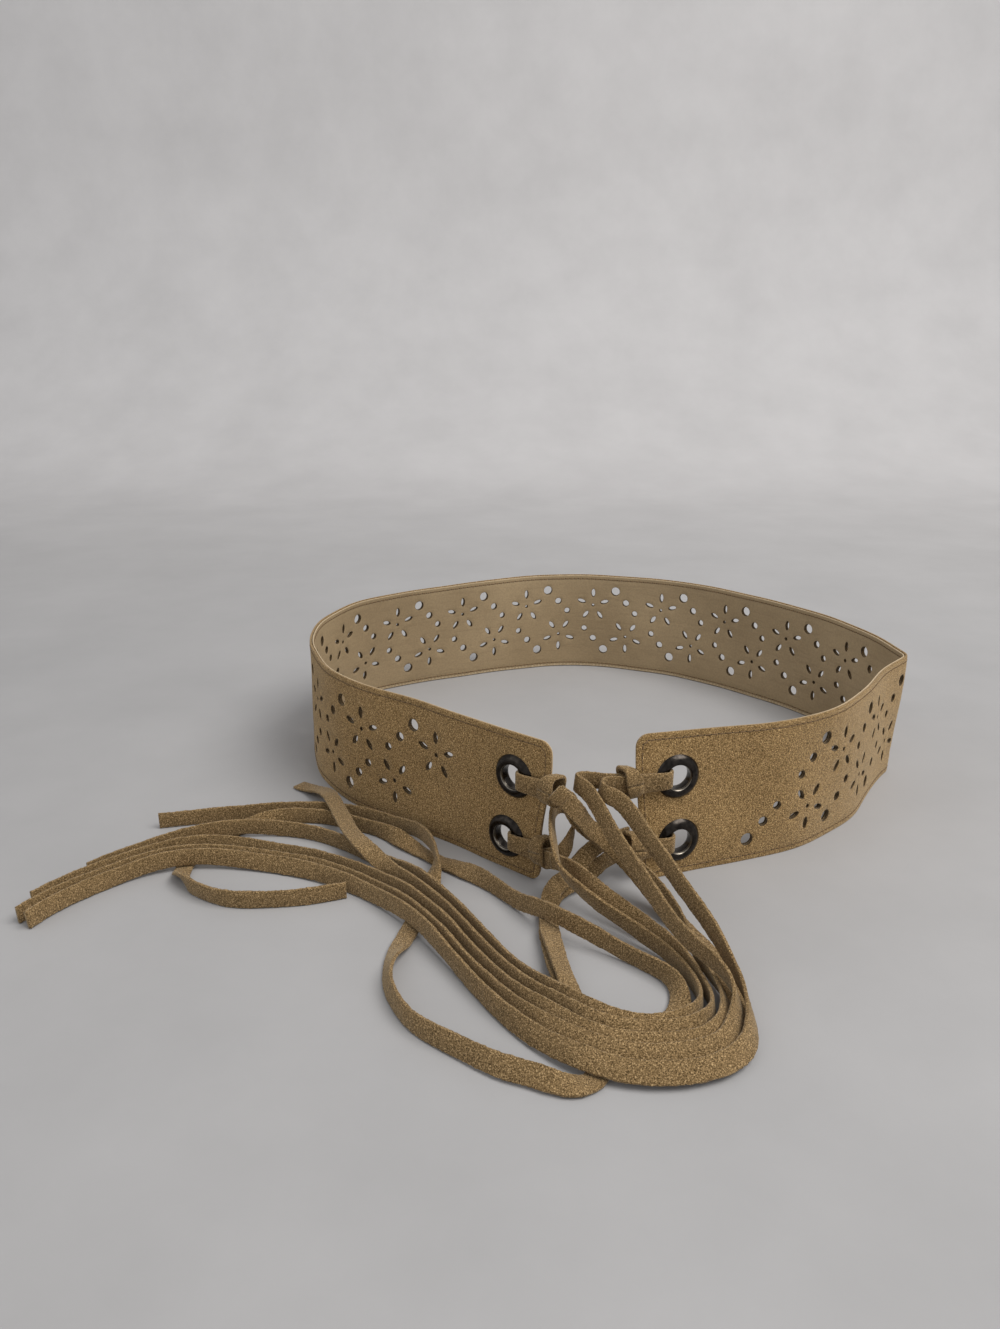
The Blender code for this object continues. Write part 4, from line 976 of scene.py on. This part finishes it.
def make_hitch(name, tilt):
    """Front and back strap, collar and the start of both tails, as one piece."""
    place = eyelet_places()[name]
    towards = -1.0 if place[0] < band.length / 2 else 1.0
    square_end = 0.0 if towards < 0 else band.length
    end = float(square_end + lean_out(square_end, place[1]))
    hole = 0.0031 - EYELET_FROM_END
    knot = LEFT_KNOT_REACH if towards < 0 else RIGHT_KNOT_REACH
    # Each strap comes out of the eyelet, lies over its rim and goes on to the knot.
    # Columns: distance from the band's end towards the knot, depth, height above the eyelet's middle.
    front = [(hole - 0.0002, BACK + 0.0012, 0.0), (hole, 0.0012, 0.0), (hole + 0.0003, -0.0016, 0.0),
             (hole + 0.0016, -0.0033, 0.0), (hole + 0.0050, -0.0034, -0.0002),
             (hole + 0.0095, -0.0024, -0.0005), (-0.0015, -0.0020, -0.0008), (knot, -0.0028, -0.0010)]
    back = [(hole, 0.0020, 0.0), (hole + 0.0004, BACK + 0.0018, 0.0), (hole + 0.0020, BACK + 0.0031, 0.0),
            (hole + 0.0060, BACK + 0.0028, 0.0), (hole + 0.0110, BACK + 0.0018, 0.0),
            (-0.0012, BACK + 0.0014, 0.0), (knot, BACK + 0.0020, 0.0)]
    pieces = []
    for rows, strap_widths in ((front, [0.0078, 0.0082, 0.0086, 0.0090, 0.0098, 0.0108]),
                               (back, [0.0078, 0.0082, 0.0086, 0.0088, 0.0094])):
        curve = smooth_points(rows, STRAP_STEPS)
        path = band.at(end + towards * curve[:, 0], place[1] + curve[:, 2], curve[:, 1])
        widths = np.interp(np.linspace(0, 1, STRAP_STEPS), np.linspace(0, 1, len(strap_widths)), strap_widths)
        upright = np.tile([0.0, 0.0, 1.0], (STRAP_STEPS, 1))
        pieces.append(flat_sweep(path, upright, widths, np.full(STRAP_STEPS, LACE_THICKNESS), 0.0005))
    pieces.append(collar(place, end, towards, knot, tilt))
    # The first millimetres of both tails, inside the collar.
    for tail in ("a", "b"):
        path, width, normal = laces[f"lace_{name}_{tail}"]
        inside = path[0] - (path[1] - path[0]) / np.linalg.norm(path[1] - path[0]) * TAIL_START
        line = np.linspace(inside, path[0], TAIL_STEPS)
        widths = np.full(TAIL_STEPS, LACE_WIDTH * 0.97)
        thick = np.full(TAIL_STEPS, LACE_THICKNESS * 0.95)
        pieces.append(sweep(line, np.tile(width[0], (TAIL_STEPS, 1)), np.tile(normal[0], (TAIL_STEPS, 1)),
                            widths, thick, LACE_CORNER, 0.0001))
    vertices = []
    faces = []
    start = 0
    for piece_vertices, piece_faces in pieces:
        vertices.append(piece_vertices)
        faces += [tuple(i + start for i in face) for face in piece_faces]
        start += len(piece_vertices)
    obj = add_mesh(f"hitch_{name}_suede", np.concatenate(vertices), faces, [lace_shaded_suede])
    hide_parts(f"hitch_{name}")
    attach(obj, "root")


make_hitch("upper_left", 0.10)
make_hitch("lower_left", -0.08)
make_hitch("upper_right", 0.12)
make_hitch("lower_right", -0.10)


def make_stage():
    """Floor and backdrop in one sweep, in a colour that gets lighter towards the back."""
    profile = [(-3.0, 0.0), (BEND_START, 0.0)]
    for i in range(13):
        turn = math.radians(90 * i / 12)
        profile.append((BEND_START + BEND_RADIUS * math.sin(turn), BEND_RADIUS * (1 - math.cos(turn))))
    profile.append((BEND_START + BEND_RADIUS, 4.0))
    vertices = []
    for y, z in profile:
        vertices += [(-4.0, y, z), (4.0, y, z)]
    faces = [(2 * i, 2 * i + 1, 2 * i + 3, 2 * i + 2) for i in range(len(profile) - 1)]
    material, tree, shader, place = node_material("stage_look")
    fitted = tree.nodes.new("ShaderNodeMapping")
    fitted.inputs["Scale"].default_value = (1.0, 1.0 / (BEND_START + BEND_RADIUS), 1.0)
    tree.links.new(place, fitted.inputs["Vector"])
    parts = tree.nodes.new("ShaderNodeSeparateXYZ")
    tree.links.new(fitted.outputs["Vector"], parts.inputs["Vector"])
    wall = ramp(tree, parts.outputs["Y"], [(0.10, (0.400, 0.393, 0.392)), (0.36, (0.455, 0.446, 0.443)),
                                           (0.74, (0.62, 0.605, 0.60)), (1.0, (0.63, 0.615, 0.61))])
    clouds = noise(tree, place, 9.0, 6.0, 0.6)
    mottle = ramp(tree, clouds, [(0.3, (0.95, 0.95, 0.95)), (0.7, (1.05, 1.05, 1.05))])
    colour = multiply(tree, 1.0, wall, mottle)
    tree.links.new(colour, shader.inputs["Base Color"])
    shader.inputs["Roughness"].default_value = 0.6
    shader.inputs["Specular IOR Level"].default_value = 0.2
    add_mesh("stage_floor", vertices, faces, [material])


make_stage()


# Light
def area_light(name, location, target, size, power, colour):
    data = bpy.data.lights.new(name, "AREA")
    data.shape = "RECTANGLE"
    data.size, data.size_y = size
    data.energy = power
    data.color = colour
    obj = bpy.data.objects.new(name, data)
    scene.collection.objects.link(obj)
    obj.location = location
    way = Vector(target) - Vector(location)
    obj.rotation_euler = way.to_track_quat("-Z", "Y").to_euler()


area_light("light_above", (0.95, -0.55, 1.7), (0.0, -0.05, 0.0), (1.4, 1.2), 31.0, (1.0, 0.985, 0.965))
area_light("light_left", (-1.6, -0.6, 1.2), (0.0, 0.0, 0.0), (1.4, 1.2), 3.0, (0.97, 0.99, 1.0))
world = bpy.data.worlds.new("world")
scene.world = world
world.use_nodes = True
background = world.node_tree.nodes["Background"]
background.inputs["Color"].default_value = (0.86, 0.87, 0.89, 1.0)
background.inputs["Strength"].default_value = 0.62

scene.view_settings.view_transform = "Standard"
scene.view_settings.look = "None"
scene.view_settings.exposure = 0.0
